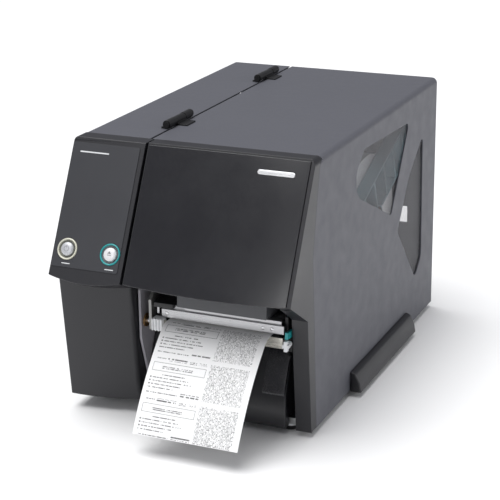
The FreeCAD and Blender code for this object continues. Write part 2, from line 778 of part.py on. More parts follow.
def pulley(label, centre, radius, bore_radius, shaft=None):
    """Flanged belt pulley, with its own shaft where it has one."""
    parts = [rod("X", radius, (60, 68), centre), rod("X", radius + 1.5, (60, 61), centre),
             rod("X", radius + 1.5, (67, 68), centre)]
    if shaft is None:
        wheel = cut(fuse(*parts), rod("X", bore_radius, (58, 70), centre))
    else:
        wheel = fuse(*parts, rod("X", bore_radius, shaft, centre))
    keep(wheel, label)


def stood_up(shape, across):
    """A shape drawn flat in (back, height), turned upright, its near side at a given x."""
    turn = FreeCAD.Placement(V(across, 0, 0), FreeCAD.Rotation(V(1, 1, 1), 120))
    return shape.transformed(turn.toMatrix(), True)


def tangent_sides(first, first_radius, second, second_radius):
    """The two outer tangent lines of two circles, as pairs of points."""
    gap = second - first
    base = math.atan2(gap.y, gap.x)
    lean = math.acos((first_radius - second_radius) / gap.Length)
    sides = []
    for sign in (1, -1):
        ray = V(math.cos(base + sign * lean), math.sin(base + sign * lean), 0)
        sides.append((first + ray * first_radius, second + ray * second_radius))
    return sides


def belt_face(first, first_radius, second, second_radius):
    """The face inside a belt that runs round two circles."""
    upper, lower = tangent_sides(first, first_radius, second, second_radius)
    outward = (first - second).normalize()
    edges = [
        Part.LineSegment(*upper).toShape(),
        Part.Arc(upper[1], second - outward * second_radius, lower[1]).toShape(),
        Part.LineSegment(lower[1], lower[0]).toShape(),
        Part.Arc(lower[0], first + outward * first_radius, upper[0]).toShape(),
    ]
    return Part.Face(Part.Wire(edges))


def drive_belt():
    """Flat belt from the motor to the platen, 0.3 mm clear of both pulleys."""
    first = V(number(PLATEN[0]), number(PLATEN[1]), 0)
    second = V(number(MOTOR[0]), number(MOTOR[1]), 0)
    radii = (D.big_pulley_radius.value + 0.3, D.small_pulley_radius.value + 0.3)
    inner = belt_face(first, radii[0], second, radii[1])
    outer = belt_face(first, radii[0] + 1.2, second, radii[1] + 1.2)
    ring = outer.cut(inner).extrude(V(0, 0, 5))
    belt = doc.addObject("Part::Feature", "Belt")
    belt.Shape = stood_up(ring, 61.5)
    keep(belt, "drive_belt")


# ---------------------------------------------------------------- print mechanism


def mech_plates():
    """The two side plates that carry the platen, the head pivot and the latch shaft."""
    holes = [(PLATEN, 5.0), (HEAD_PIVOT, D.head_shaft_radius),
             (LATCH, D.latch_shaft_radius + D.running_gap)]
    left = pad(new_body(), "YZ", (D.mech_left, MECH_LEFT_INNER), [[
        (-40, 92), (-40, 122), (-28, 134), (30, 152), (64, 152), (64, 84), (-22, 84)]])
    pocket(left, "YZ", (D.mech_left - 1, MECH_LEFT_INNER + 1), circles=holes)
    keep(left, "mech_left_plate")
    right = pad(new_body(), "YZ", (D.mech_right, MECH_RIGHT_OUTER), [[
        (-34, 88), (-34, 122), (-24, 132), (30, 152), (64, 152), (64, 80), (44, 80), (44, 9),
        (4, 9), (4, 80), (-26, 80)]])
    pocket(right, "YZ", (D.mech_right - 1, MECH_RIGHT_OUTER + 1), circles=holes)
    tab = block((D.mech_right, D.leg_left - 0.6), (-35.5, -34), (89, 102))
    knob_way = rod("Y", 1.5 + D.running_gap, (-37, -30), KNOB)
    keep(cut(fuse(right, tab), knob_way), "mech_right_plate")


def mech_base():
    """Cross plate under the label path, with the sensor rail standing on it."""
    plate = block((WALL_RIGHT, D.mech_right), (-8, 64), (80, 84))
    rail = block((MECH_LEFT_INNER, D.mech_right), (34, 40), (84, 90))
    sensor = block((148, 164), (30, 46), (90, 99))
    keep(fuse(plate, rail, sensor), "mech_base")


def tear_plate():
    """Bright toothless tear-off plate below the label outlet, with two ears."""
    front = block((MECH_LEFT_INNER, D.mech_right), (-41, -39.5), (93, 103.4))
    left = block((MECH_LEFT_INNER, MECH_LEFT_INNER + 1.5), (-41, -39.4), (93, 102))
    right = block((D.mech_right - 1.5, D.mech_right), (-41, -35), (93, 102))
    shelf = block((D.mech_right - 5, D.mech_right), (-41, -35), (93, 94.5))
    keep(fuse(front, left, right, shelf), "tear_plate")


def tear_plate_knob():
    """Small four-lobed quarter-turn knob beside the tear plate."""
    across, height = KNOB
    tall = block((across - 1.6, across + 1.6), (-46, -41.3), (height - 5, height + 5))
    wide = block((across - 3.2, across + 3.2), (-46, -41.3), (height - 1.6, height + 1.6))
    collar = rod("Y", 3.0, (-41.3, -36), KNOB)
    stem = rod("Y", 1.5, (-36, -31), KNOB)
    keep(fuse(tall, wide, collar, stem), "tear_plate_knob")


def label_guide():
    """Ribbed edge guide that hooks over the tear plate."""
    parts = [block((91, 102), (-45.5, -41.3), (94, 106)),
             block((91, 102), (-41.3, -36.6), (103.7, 106)),
             block((91, 102), (-38.2, -36.6), (99, 103.7))]
    for x in (91, 94.2, 97.4, 100.6):
        parts.append(block((x, x + 1.4), (-47, -45.5), (94, 106)))
    keep(fuse(*parts), "label_guide")


def platen():
    """Rubber roller, its steel shaft, the pulley and the three bushings."""
    keep(tube("X", D.platen_radius, D.platen_shaft_radius, (98, 218), PLATEN), "platen_roller")
    keep(rod("X", D.platen_shaft_radius, (58, 227.4), PLATEN), "platen_shaft")
    pulley("platen_pulley", PLATEN, D.big_pulley_radius, D.platen_shaft_radius)
    bushings = []
    for near, far, flange in ((D.wall_left, WALL_RIGHT, (WALL_RIGHT, WALL_RIGHT + 1.5)),
                              (D.mech_left, MECH_LEFT_INNER, (D.mech_left - 1.5, D.mech_left)),
                              (D.mech_right, MECH_RIGHT_OUTER, (D.mech_right - 1.5, D.mech_right))):
        bore = rod("X", D.platen_shaft_radius + D.running_gap, (near - 3, far + 3), PLATEN)
        bushings.append(cut(fuse(rod("X", 5.0, (near, far), PLATEN),
                                 rod("X", 6.5, flange, PLATEN)), bore))
    keep(group(*bushings), "platen_bushings")


def head_pivot_shaft():
    """Steel shaft that the print head swings on."""
    keep(rod("X", D.head_shaft_radius, (D.mech_left, MECH_RIGHT_OUTER), HEAD_PIVOT),
         "head_pivot_shaft")


def head_bracket():
    """Bright head carrier: front bar, upper lip, top plate and two arms to the pivot."""
    arm = [(-36, 108), (-36, 119), (34, 119), (42, 149), (60, 149), (60, 131), (40, 108)]
    pivot = rod("X", D.head_shaft_radius + D.running_gap, (80, 230), HEAD_PIVOT)
    parts = [block((99, 225), (-40, -37), (106.8, 115)),
             block((123, 222), (-38.4, -37), (116, 119)),
             block((99, 221.5), (-37, -34), (108, 119)),
             block((92, 221.5), (-36, 38), (117, 119))]
    for left in (92.0, 219.0):
        parts.append(pad(new_body(), "YZ", (left, left + 2.5), [arm]))
    keep(cut(fuse(*parts), pivot), "head_bracket")


def heatsink():
    """Finned aluminium block under the head carrier."""
    parts = [block((99, 217), (-33.5, 4), (108.5, 111.5))]
    for step in range(6):
        near = -33.5 + 7.2 * step
        parts.append(block((99, 217), (near, near + 1.5), (111.5, 117)))
    keep(fuse(*parts), "heatsink")


def thermal_strip():
    """Ceramic heater strip that presses on the labels."""
    keep(block((102, 210), (-33.5, -14), (D.strip_height + D.strip_gauge / 2 + 0.45, 108.5)),
         "thermal_strip")


def head_cover():
    """Dark moulded cap over the head."""
    body = pad(new_body(), "YZ", (118, 210), [[
        (-34, 119), (-34, 121), (-46, 121), (-44.5, 135), (-20, 141), (28, 141), (28, 119)]])
    pocket(body, "YZ", (120.5, 207.5), [[
        (-31.5, 118), (-31.5, 123.5), (-43.2, 123.5), (-42.2, 133), (-19.6, 138.5),
        (25.5, 138.5), (25.5, 118)]])
    keep(body, "head_cover")


def head_latch():
    """Latch shaft with its two round lift cams, and the coloured lever on its end."""
    shaft = rod("X", D.latch_shaft_radius, (D.mech_left - 2, 231), LATCH)
    parts = [shaft]
    for left in (92.0, 219.0):
        parts.append(rod("X", 7.0, (left, left + 2.5), (D.latch_back - 1, D.latch_height - 2)))
    keep(fuse(*parts), "latch_shaft")
    lever = pad(new_body(), "YZ", (227.7, 230.9), [[
        (20, 88), (20, 100), (-12, 108), (-44, 111), (-45, 104.6), (-14, 101), (6, 90)]])
    pad(lever, "YZ", (227.7, 230.9), circles=[(LATCH, 6.5)])
    pocket(lever, "YZ", (227, 232), circles=[(LATCH, D.latch_shaft_radius)])
    keep(lever, "latch_lever")


# ---------------------------------------------------------------- ribbon and media


def spindle(label, centre):
    """Ribbon spindle: flanged hollow drum with three grip ribs."""
    parts = [rod("X", D.spindle_radius, (79, 213), centre), rod("X", 19.0, (77, 79.5), centre)]
    for turn in (90, 210, 330):
        spot = (centre[0] + (D.spindle_radius + 0.4) * math.cos(math.radians(turn)),
                centre[1] + (D.spindle_radius + 0.4) * math.sin(math.radians(turn)))
        parts.append(rod("X", 1.6, (84, 208), spot))
    bore = rod("X", D.axle_radius + D.running_gap, (70, 210.5), centre)
    keep(cut(fuse(*parts), bore), label)


def spindle_axles():
    """Fixed axles of the two ribbon spindles, nutted to the centre wall."""
    axles = []
    for centre in (REWIND, SUPPLY):
        axles.append(fuse(rod("X", D.axle_radius, (67, 210), centre),
                          rod("X", 8.0, (67, D.wall_left), centre)))
    keep(group(*axles), "spindle_axles")


def hanger_section(clearance):
    """The hanger's D-shaped section, or the hole that clears it."""
    outer = D.core_bore - 0.4 + clearance
    low = 24.2 - clearance
    across = root(outer * outer - low * low)
    points = [(D.roll_back - across, D.roll_height + low),
              (D.roll_back + across, D.roll_height + low)]
    return points, {1: outer}


def media_hanger():
    """Saddle bar that the roll's core hangs on, with a round foot on the centre wall."""
    points, arcs = hanger_section(0)
    body = pad(new_body(), "YZ", (WALL_RIGHT, 222), [points], arcs=arcs)
    pad(body, "YZ", (WALL_RIGHT, WALL_RIGHT + 2.5), circles=[(ROLL, 46.0)])
    keep(body, "media_hanger")


def label_roll():
    """Paper roll on its board core."""
    wide = (D.strip_left, STRIP_RIGHT)
    keep(tube("X", D.roll_radius, D.core_radius, wide, ROLL), "label_roll")
    keep(tube("X", D.core_radius, D.core_bore, wide, ROLL), "roll_core")


def media_guide():
    """Clear ribbed guide arm that slides along the hanger against the roll."""
    points, arcs = hanger_section(0.5)
    hub = pad(new_body(), "YZ", (STRIP_RIGHT + 1, STRIP_RIGHT + 4), circles=[(ROLL, 48.0)])
    lean = FreeCAD.Rotation(V(1, 0, 0), 21.5)
    band = doc.addObject("Part::Box", "Band")
    cells = []
    bind(band, "Length", as_size(14.0))
    bind(band, "Width", as_size(186.0))
    bind(band, "Height", as_size(42.0))
    start = (STRIP_RIGHT.value + 1, 160, 127)
    place(band, start, lean)
    for index in range(5):
        hollow = doc.addObject("Part::Box", "Cell")
        bind(hollow, "Length", as_size(12.5))
        bind(hollow, "Width", as_size(27.0))
        bind(hollow, "Height", as_size(38.0))
        shift = lean.multVec(V(0, 2.5 + 30.6 * index, 2))
        corner = (start[0] + 2, start[1] + shift.y, start[2] + shift.z)
        cells.append(place(hollow, corner, lean))
    hole = pad(new_body(), "YZ", (208, 230), [points], arcs=arcs)
    keep(cut(fuse(hub, cut(band, *cells)), hole), "media_guide")


def damper_rod():
    """Polished rod that the web passes under."""
    keep(rod("X", D.damper_radius, (WALL_RIGHT, 222), (D.damper_back, DAMPER_HEIGHT)),
         "damper_rod")


def cross_tangent(first, first_radius, second, second_radius):
    """Where a line leaves the top of one circle and meets the underside of the next."""
    gap = second - first
    base = math.atan2(gap.y, gap.x)
    lean = math.acos((first_radius + second_radius) / gap.Length)
    ray = V(math.cos(base - lean), math.sin(base - lean), 0)
    return first + ray * first_radius, second - ray * second_radius


def fall(start, start_slope, end_slope, radius):
    """A falling arc towards the front: its middle and its end; slopes are in degrees."""
    def spot(slope):
        a, b = math.radians(start_slope), math.radians(slope)
        return start + V(-radius * (math.sin(b) - math.sin(a)),
                         -radius * (math.cos(a) - math.cos(b)), 0)
    return spot((start_slope + end_slope) / 2), spot(end_slope)


def web_path():
    """The web's centre line in (back, height): roll, damper rod, outlet and hanging strip."""
    margin = 0.3 + D.strip_gauge.value / 2
    roll = V(D.roll_back.value, D.roll_height.value, 0)
    damper = V(D.damper_back.value, DAMPER_HEIGHT.value, 0)
    damper_radius = D.damper_radius.value + margin
    leave, meet = cross_tangent(roll, D.roll_radius.value + margin, damper, damper_radius)
    under = damper - V(0, damper_radius, 0)
    half_way = (meet - damper) + (under - damper)
    turn = damper + half_way.normalize() * damper_radius
    outlet = V(-42, D.strip_height.value, 0)
    first_bend, second_start = fall(outlet, 0, 40, 22.0)
    second_bend, tip = fall(second_start, 40, 61.5, 272.0)
    return [Part.LineSegment(leave, meet), Part.Arc(meet, turn, under),
            Part.LineSegment(under, outlet), Part.Arc(outlet, first_bend, second_start),
            Part.Arc(second_start, second_bend, tip)]


def label_web():
    """Label web from the roll to the tip of the printed strip, one even thickness."""
    path = Part.Wire([curve.toShape() for curve in web_path()])
    start = path.Vertexes[0].Point
    ahead = path.Edges[0].tangentAt(path.Edges[0].FirstParameter)
    side = V(-ahead.y, ahead.x, 0) * (D.strip_gauge.value / 2)
    deep = V(0, 0, D.strip_width.value)
    corners = [start + side, start - side, start - side + deep, start + side + deep]
    section = Part.Wire(Part.makePolygon(corners + corners[:1]))
    strip = path.makePipeShell([section], True, True)
    web = doc.addObject("Part::Feature", "Web")
    web.Shape = stood_up(strip, D.strip_left.value)
    keep(web, "label_web")


# ---------------------------------------------------------------- media door


WINDOWS = (
    ([(112, 248), (253, 242), (198, 155.5), (96, 203), (86, 227)], (14, 5, 5, 18, 18)),
    ([(302, 216), (257, 183), (220, 130), (285, 57), (306, 76)], (4, 40, 7, 9, 16)),
)


def grown(points, margin):
    """A polygon with each side moved outwards; its corners run clockwise or the other way."""
    area = sum(a[0] * b[1] - b[0] * a[1] for a, b in zip(points, points[1:] + points[:1]))
    sign = 1 if area > 0 else -1
    result = []
    count = len(points)
    for index in range(count):
        before, here, after = (V(*points[(index + k) % count], 0) for k in (-1, 0, 1))
        into = (here - before).normalize()
        out = (after - here).normalize()
        first = V(into.y, -into.x, 0) * sign
        second = V(out.y, -out.x, 0) * sign
        bisector = (first + second).normalize()
        moved = here + bisector * (margin / bisector.dot(first))
        result.append((moved.x, moved.y))
    return result


def media_cover():
    """Folded steel door skin: top and right side, rear flange, two window cut-outs."""
    inner = D.case_height - D.sheet_metal
    side_inner = D.case_width - D.sheet_metal
    left_inner = D.door_left + D.sheet_metal
    fold = [(D.door_left, 263), (left_inner, 263), (left_inner, inner), (side_inner, inner),
            (side_inner, D.cover_bottom), (D.case_width, D.cover_bottom),
            (D.case_width, D.case_height), (D.door_left, D.case_height)]
    body = pad(new_body(), "XZ", (-40, D.case_depth), [fold])
    flange = [(left_inner, 258), (236, 258), (236, D.cover_bottom),
              (side_inner, D.cover_bottom), (side_inner, inner), (left_inner, inner)]
    pad(body, "XZ", (D.case_depth - D.sheet_metal, D.case_depth), [flange])
    soften(body, D.corner_round, along("Y", (D.case_width, D.case_height)))
    soften(body, D.corner_round - D.sheet_metal, along("Y", (side_inner, inner)))
    pocket(body, "YZ", (D.door_left - 1, D.case_width + 1), [seam_cut(RIGHT_SEAM)])
    pocket(body, "XY", (262, inner), [rectangle((D.door_left - 1, left_inner), (-45, 3))])
    for corners, rounds in WINDOWS:
        pocket(body, "YZ", (side_inner - 1, D.case_width + 1), [corners])
        for corner, radius in zip(corners, rounds):
            soften(body, float(radius), along("X", corner))
    keep(body, "media_cover")


def window_panes():
    """Clear panes behind the window cut-outs, 5 mm larger all round."""
    side_inner = D.case_width - D.sheet_metal
    panes = [pad(new_body(), "YZ", (side_inner - 2, side_inner), [grown(corners, 5.0)])
             for corners, _ in WINDOWS]
    keep(group(*panes), "window_panes")


def door_bezel():
    """Hollow front moulding of the door: carrier behind the gloss panel, side strip and leg."""
    body = pad(new_body(), "YZ", (D.bezel_left, D.case_width - 4), [[
        (0, D.case_height), (-14.75, D.case_height), (-77.82, 148.89), (-67.6, 143.5),
        (-24.5, 143.5), (-25, 178), (-16.5, 223.5), (-7.5, 263.5)]])
    pad(body, "YZ", (D.case_width - 4, D.case_width), [[
        (0, D.case_height), (-D.brow_reach, D.case_height), (-D.lip_reach, D.lip_height),
        (-38, 122.5), (-28.7, D.cover_bottom), (-15.8, D.cover_bottom), (-25, 178),
        (-16.5, 223.5), (-7.5, 263.5)]])
    pad(body, "YZ", (D.leg_left, D.case_width - 4), [[
        (-67.6, 143.5), (-38, 122.5), (-28.7, D.cover_bottom), (-15.8, D.cover_bottom),
        (-23.2, 143.5)]])
    pocket(body, "YZ", (D.bezel_left + D.skin, D.case_width - D.skin), [[
        (6, D.case_height - D.skin), (-13.4, D.case_height - D.skin), (-74.5, 149.95),
        (-66.4, 145.7), (-66.4, 142), (6, 142)]])
    pocket(body, "YZ", (D.leg_left + D.skin, D.case_width - D.skin), [[
        (6, 143), (-60.5, 143), (-35.5, 123.5), (-26.2, 8.5), (6, 8.5)]])
    soften(body, D.corner_round, along("Y", (D.case_width, D.case_height)))
    keep(body, "door_bezel")


def front_panel():
    """Gloss front panel: crowned across, its lower edge bowed."""
    left = D.bezel_left + 2
    right = D.case_width - 4.4
    wide = right - left
    section = [(left, -D.panel_gauge), (right, -D.panel_gauge), (right, 0), (left, 0)]
    body = pad(new_body(), "XZ", (-D.panel_sag, 134), [section],
               arcs={2: bow_radius(wide, D.panel_crown)})
    pocket(body, "XY", (-10, 10), [[(left - 1, -9), (right + 1, -9), (right + 1, 0),
                                    (right, 0), (left, 0), (left - 1, 0)]],
           arcs={3: -bow_radius(wide, D.panel_sag)})
    keep_on_slope(body, "front_panel")


def grip_handle():
    """Hollow grip along the door's lower edge, open below for the fingers."""
    wide = D.case_width + D.grip_bulge
    body = pad(new_body(), "XZ", (76, 255), [[
        (D.case_width, 27), (D.case_width + 5.5, 25), (wide - 1.5, 15), (wide, 5),
        (D.case_width, 5)]])
    pocket(body, "XZ", (79, 252), [[
        (D.case_width - 1, 24), (D.case_width + 4, 22.2), (wide - 4, 14.2), (wide - 2.6, 4),
        (D.case_width - 1, 4)]])
    keep(body, "grip_handle")


def hinges():
    """Two barrel hinges: fixed knuckles on pads, pins, and the door's knuckles with tongues."""
    bases, pins, leaves = [], [], []
    axis = (D.hinge_across, D.hinge_height)
    top = D.case_height
    end = 16.0
    for near in (D.front_hinge_back, D.rear_hinge_back):
        far = near + D.hinge_length
        for span in ((near, near + end), (far - end, far)):
            knuckle = rod("Y", D.knuckle_radius, span, axis)
            foot = block((D.hinge_across - 6, D.hinge_across), span, (top, top + 1.8))
            bases.append(cut(fuse(knuckle, foot), rod("Y", D.hinge_pin_radius,
                                                      (span[0] - 1, span[1] + 1), axis)))
        pins.append(fuse(rod("Y", D.hinge_pin_radius, (near - 1, far + 1), axis),
                         rod("Y", 3.2, (near - 2, near), axis),
                         rod("Y", 3.2, (far, far + 2), axis)))
        span = (near + end + 0.4, far - end - 0.4)
        barrel = rod("Y", D.knuckle_radius - 0.3, span, axis)
        tongue = block((D.door_left, D.door_left + 10), span, (top, top + 1.4))
        neck = block((D.hinge_across + 2.6, D.door_left + 0.5), span, (top + 0.4, top + 3.0))
        bore = rod("Y", D.hinge_pin_radius + D.running_gap, (near, far), axis)
        leaves.append(cut(fuse(barrel, tongue, neck), bore))
    keep(group(*bases), "hinge_bases")
    keep(group(*pins), "hinge_pins")
    keep(group(*leaves), "hinge_leaves")


# ---------------------------------------------------------------- build and export


def build():
    """Make every sub-part."""
    base_tray()
    centre_wall()
    rear_panel()
    electronics_cover()
    control_bezel()
    control_overlay()
    button_ring("pause_button_ring", D.pause_across)
    button_ring("feed_button_ring", D.feed_across)
    button("pause_button", D.pause_across)
    button("feed_button", D.feed_across)
    control_board()
    front_column()
    lower_front_cover()
    front_ledge_pad()
    feet()
    case_screws()
    main_board()
    power_supply()
    power_inlet()
    data_ports()
    rocker_housing()
    power_rocker()
    stepper_motor()
    pulley("motor_pulley", MOTOR, D.small_pulley_radius, 2.5, shaft=(41, 68))
    drive_belt()
    mech_plates()
    mech_base()
    tear_plate()
    tear_plate_knob()
    label_guide()
    platen()
    head_pivot_shaft()
    head_bracket()
    heatsink()
    thermal_strip()
    head_cover()
    head_latch()
    spindle("ribbon_rewind_spindle", REWIND)
    spindle("ribbon_supply_spindle", SUPPLY)
    spindle_axles()
    media_hanger()
    label_roll()
    media_guide()
    damper_rod()
    label_web()
    media_cover()
    window_panes()
    door_bezel()
    front_panel()
    grip_handle()
    hinges()


def check():
    """Stop if any object failed or any sub-part is not a sound solid."""
    for obj in doc.Objects:
        if {"Invalid", "Error"} & set(obj.State):
            raise RuntimeError(f"{obj.Name} ({obj.Label}) failed: {obj.State}")
    for node in nodes:
        shape = node.Shape
        if shape.isNull() or not shape.isValid() or not shape.Solids:
            raise RuntimeError(f"{node.Label} is not a sound solid")


def export():
    """Write one STEP file for each sub-part."""
    os.makedirs("parts", exist_ok=True)
    for node in nodes:
        node.Shape.exportStep(f"parts/{node.Label}.step")


build()
doc.recompute()
check()
export()
print(f"{len(nodes)} sub-parts")
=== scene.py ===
"""Looks of a four-inch thermal label printer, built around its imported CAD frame."""

import json
import logging
import math
from dataclasses import dataclass, field
from enum import Enum
from typing import Iterable, Sequence

import bpy
from mathutils import Matrix, Vector
from mathutils.bvhtree import BVHTree


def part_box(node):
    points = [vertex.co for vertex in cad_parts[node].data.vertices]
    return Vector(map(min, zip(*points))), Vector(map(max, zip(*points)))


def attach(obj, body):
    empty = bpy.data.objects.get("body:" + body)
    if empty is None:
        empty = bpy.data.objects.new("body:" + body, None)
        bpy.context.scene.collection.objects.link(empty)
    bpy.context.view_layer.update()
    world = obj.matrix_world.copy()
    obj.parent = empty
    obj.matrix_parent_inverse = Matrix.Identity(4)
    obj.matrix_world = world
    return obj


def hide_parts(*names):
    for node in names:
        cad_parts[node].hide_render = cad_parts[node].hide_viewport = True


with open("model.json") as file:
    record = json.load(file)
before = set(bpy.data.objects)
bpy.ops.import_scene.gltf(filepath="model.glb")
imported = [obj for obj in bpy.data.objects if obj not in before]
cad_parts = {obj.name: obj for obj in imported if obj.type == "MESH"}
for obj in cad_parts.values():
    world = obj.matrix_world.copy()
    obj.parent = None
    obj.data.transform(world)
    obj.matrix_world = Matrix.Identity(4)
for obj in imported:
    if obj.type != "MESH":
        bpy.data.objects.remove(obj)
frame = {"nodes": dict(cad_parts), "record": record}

logging.basicConfig(level=logging.INFO, format="%(message)s")
log = logging.getLogger("label_printer")

Socket = bpy.types.NodeSocket
Mesh = bpy.types.Object
Triple = tuple[float, float, float]

MM = 0.001
ORIGIN = Vector((130.0, 114.0, 0.0))
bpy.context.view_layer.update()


def machine(x: float, y: float, z: float) -> Vector:
    """Turn a place in the machine's own layout, in mm, into the frame, in metres."""
    return (Vector((x, y, z)) - ORIGIN) * MM


def touch(node: str, start: Vector, way: Vector) -> tuple[Vector, Vector]:
    """Where a line meets a node's surface.

    Args:
        node: the node's name.
        start: where the line starts.
        way: the line's direction.

    Returns:
        The place and the outward direction of the surface there.
    """
    mesh = frame["nodes"][node].data
    tree = BVHTree.FromPolygons([v.co for v in mesh.vertices],
                                [tuple(p.vertices) for p in mesh.polygons])
    spot, facing, _, _ = tree.ray_cast(start, way)
    if spot is None:
        raise ValueError(f"no surface of {node} from {tuple(start)}")
    return spot, facing


class Axis(Enum):
    """A direction that a piece is turned or drawn along."""

    X = "X"
    Y = "Y"
    Z = "Z"


# ------------------------------------------------------------------ finishes


class Recipe:
    """A material's node tree, with short calls for the nodes that finishes use."""

    def __init__(self, name: str) -> None:
        """Start a material with one Principled shader."""
        self.material = bpy.data.materials.new(name)
        self.material.use_nodes = True
        self.tree = self.material.node_tree
        self.shader = self.tree.nodes["Principled BSDF"]
        self.object_place = self.node("ShaderNodeTexCoord").outputs["Object"]

    def node(self, kind: str, **settings: object) -> bpy.types.Node:
        """Add a node and set its properties.

        Args:
            kind: Blender's class name of the node.
            settings: properties by name.

        Returns:
            The new node.
        """
        made = self.tree.nodes.new(kind)
        for name, value in settings.items():
            setattr(made, name, value)
        return made

    def feed(self, socket: Socket, value: object) -> None:
        """Link a socket to another one, or set its number.

        Args:
            socket: the input to feed.
            value: another node's output, or the number or colour itself.
        """
        if isinstance(value, bpy.types.NodeSocket):
            self.tree.links.new(value, socket)
        else:
            socket.default_value = value

    def shade(self, name: str, value: object) -> None:
        """Set or link one of the shader's sockets by name."""
        self.feed(self.shader.inputs[name], value)

    def maths(self, operation: str, *values: object, clamp: bool = False) -> Socket:
        """Add a Math node over sockets or numbers.

        Args:
            operation: Blender's name of the operation.
            values: its inputs in order.
            clamp: hold the result between 0 and 1.

        Returns:
            The result.
        """
        made = self.node("ShaderNodeMath", operation=operation, use_clamp=clamp)
        for socket, value in zip(made.inputs, values):
            self.feed(socket, value)
        return made.outputs[0]

    def placed(self, scale: Triple = (1, 1, 1), shift: Triple = (0, 0, 0),
               turn: Triple = (0, 0, 0)) -> Socket:
        """Object coordinates, moved, turned and stretched.

        Args:
            scale: stretch along each axis.
            shift: move along each axis, in metres.
            turn: turn about each axis, in radians.

        Returns:
            The coordinates.
        """
        made = self.node("ShaderNodeMapping", vector_type="POINT")
        self.feed(made.inputs["Vector"], self.object_place)
        made.inputs["Location"].default_value = shift
        made.inputs["Rotation"].default_value = turn
        made.inputs["Scale"].default_value = scale
        return made.outputs["Vector"]

    def noise(self, scale: float, detail: float = 3.0, rough: float = 0.5,
              at: Socket | None = None) -> Socket:
        """Noise over the surface, from 0 to 1.

        Args:
            scale: how many features a metre holds.
            detail: how many finer layers are added.
            rough: how strong the finer layers are.
            at: the coordinates, or none for the object's own.

        Returns:
            The noise.
        """
        made = self.node("ShaderNodeTexNoise")
        self.feed(made.inputs["Vector"], at or self.object_place)
        made.inputs["Scale"].default_value = scale
        made.inputs["Detail"].default_value = detail
        made.inputs["Roughness"].default_value = rough
        return made.outputs["Fac"]

    def cells(self, scale: float, at: Socket | None = None) -> Socket:
        """Distance to the nearest point of a cell pattern."""
        made = self.node("ShaderNodeTexVoronoi")
        self.feed(made.inputs["Vector"], at or self.object_place)
        made.inputs["Scale"].default_value = scale
        return made.outputs["Distance"]

    def span(self, value: Socket, low: float, high: float, to_low: float,
             to_high: float) -> Socket:
        """Map a value from one range to another, held at its ends.

        Args:
            value: the value.
            low: where its range starts.
            high: where its range ends.
            to_low: the result at the start.
            to_high: the result at the end.

        Returns:
            The mapped value.
        """
        made = self.node("ShaderNodeMapRange", clamp=True)
        for name, number in (("From Min", low), ("From Max", high), ("To Min", to_low),
                             ("To Max", to_high)):
            made.inputs[name].default_value = number
        self.feed(made.inputs["Value"], value)
        return made.outputs["Result"]

    def tint(self, factor: Socket, first: Triple, second: Triple) -> Socket:
        """Mix two colours by a factor.

        Args:
            factor: 0 gives the first colour, and 1 the second.
            first: a colour.
            second: another colour.

        Returns:
            The mixed colour.
        """
        made = self.node("ShaderNodeMix", data_type="RGBA")
        self.feed(made.inputs[0], factor)
        made.inputs[6].default_value = (*first, 1)
        made.inputs[7].default_value = (*second, 1)
        return made.outputs[2]

    def bump(self, height: Socket, strength: float, depth: float) -> None:
        """Raise the surface's shading by a height pattern.

        Args:
            height: the pattern.
            strength: how much of it shows.
            depth: its height in metres.
        """
        made = self.node("ShaderNodeBump")
        made.inputs["Strength"].default_value = strength
        made.inputs["Distance"].default_value = depth
        self.feed(made.inputs["Height"], height)
        self.shade("Normal", made.outputs["Normal"])


@dataclass(frozen=True)
class Finish:
    """How one kind of surface looks; the base gives a plain fine-grained one."""

    name: str
    colour: Triple
    roughness: float = 0.5
    metallic: float = 0.0
    specular: float = 0.5
    coat: float = 0.0
    mottle: float = 0.06
    grain: float = 900.0
    grain_depth: float = 0.00002
    grain_strength: float = 0.3

    def shades(self) -> tuple[Triple, Triple]:
        """The darker and lighter ends of the colour's slight variation."""
        dark = tuple(c * (1 - self.mottle) for c in self.colour)
        light = tuple(min(1.0, c * (1 + self.mottle)) for c in self.colour)
        return dark, light

    def constants(self, recipe: Recipe) -> None:
        """Set what is the same all over the surface."""
        recipe.shade("Metallic", self.metallic)
        recipe.shade("Specular IOR Level", self.specular)
        recipe.shade("Coat Weight", self.coat)
        recipe.shade("Coat Roughness", 0.12)

    def pattern(self, recipe: Recipe) -> None:
        """Lay the colour, the roughness and the bump."""
        broad = recipe.noise(18.0, 4.0, 0.6)
        recipe.shade("Base Color", recipe.tint(broad, *self.shades()))
        fine = recipe.noise(self.grain, 2.0)
        worn = recipe.maths("ADD", recipe.maths("MULTIPLY", broad, 0.6),
                            recipe.maths("MULTIPLY", fine, 0.4))
        recipe.shade("Roughness", recipe.span(worn, 0.3, 0.7, max(0.0, self.roughness - 0.05),
                                              min(1.0, self.roughness + 0.06)))
        recipe.bump(fine, self.grain_strength, self.grain_depth)

    def make(self) -> bpy.types.Material:
        """Build the material, once."""
        label = f"{self.name}_finish"
        known = bpy.data.materials.get(label)
        if known:
            return known
        recipe = Recipe(label)
        self.constants(recipe)
        self.pattern(recipe)
        return recipe.material


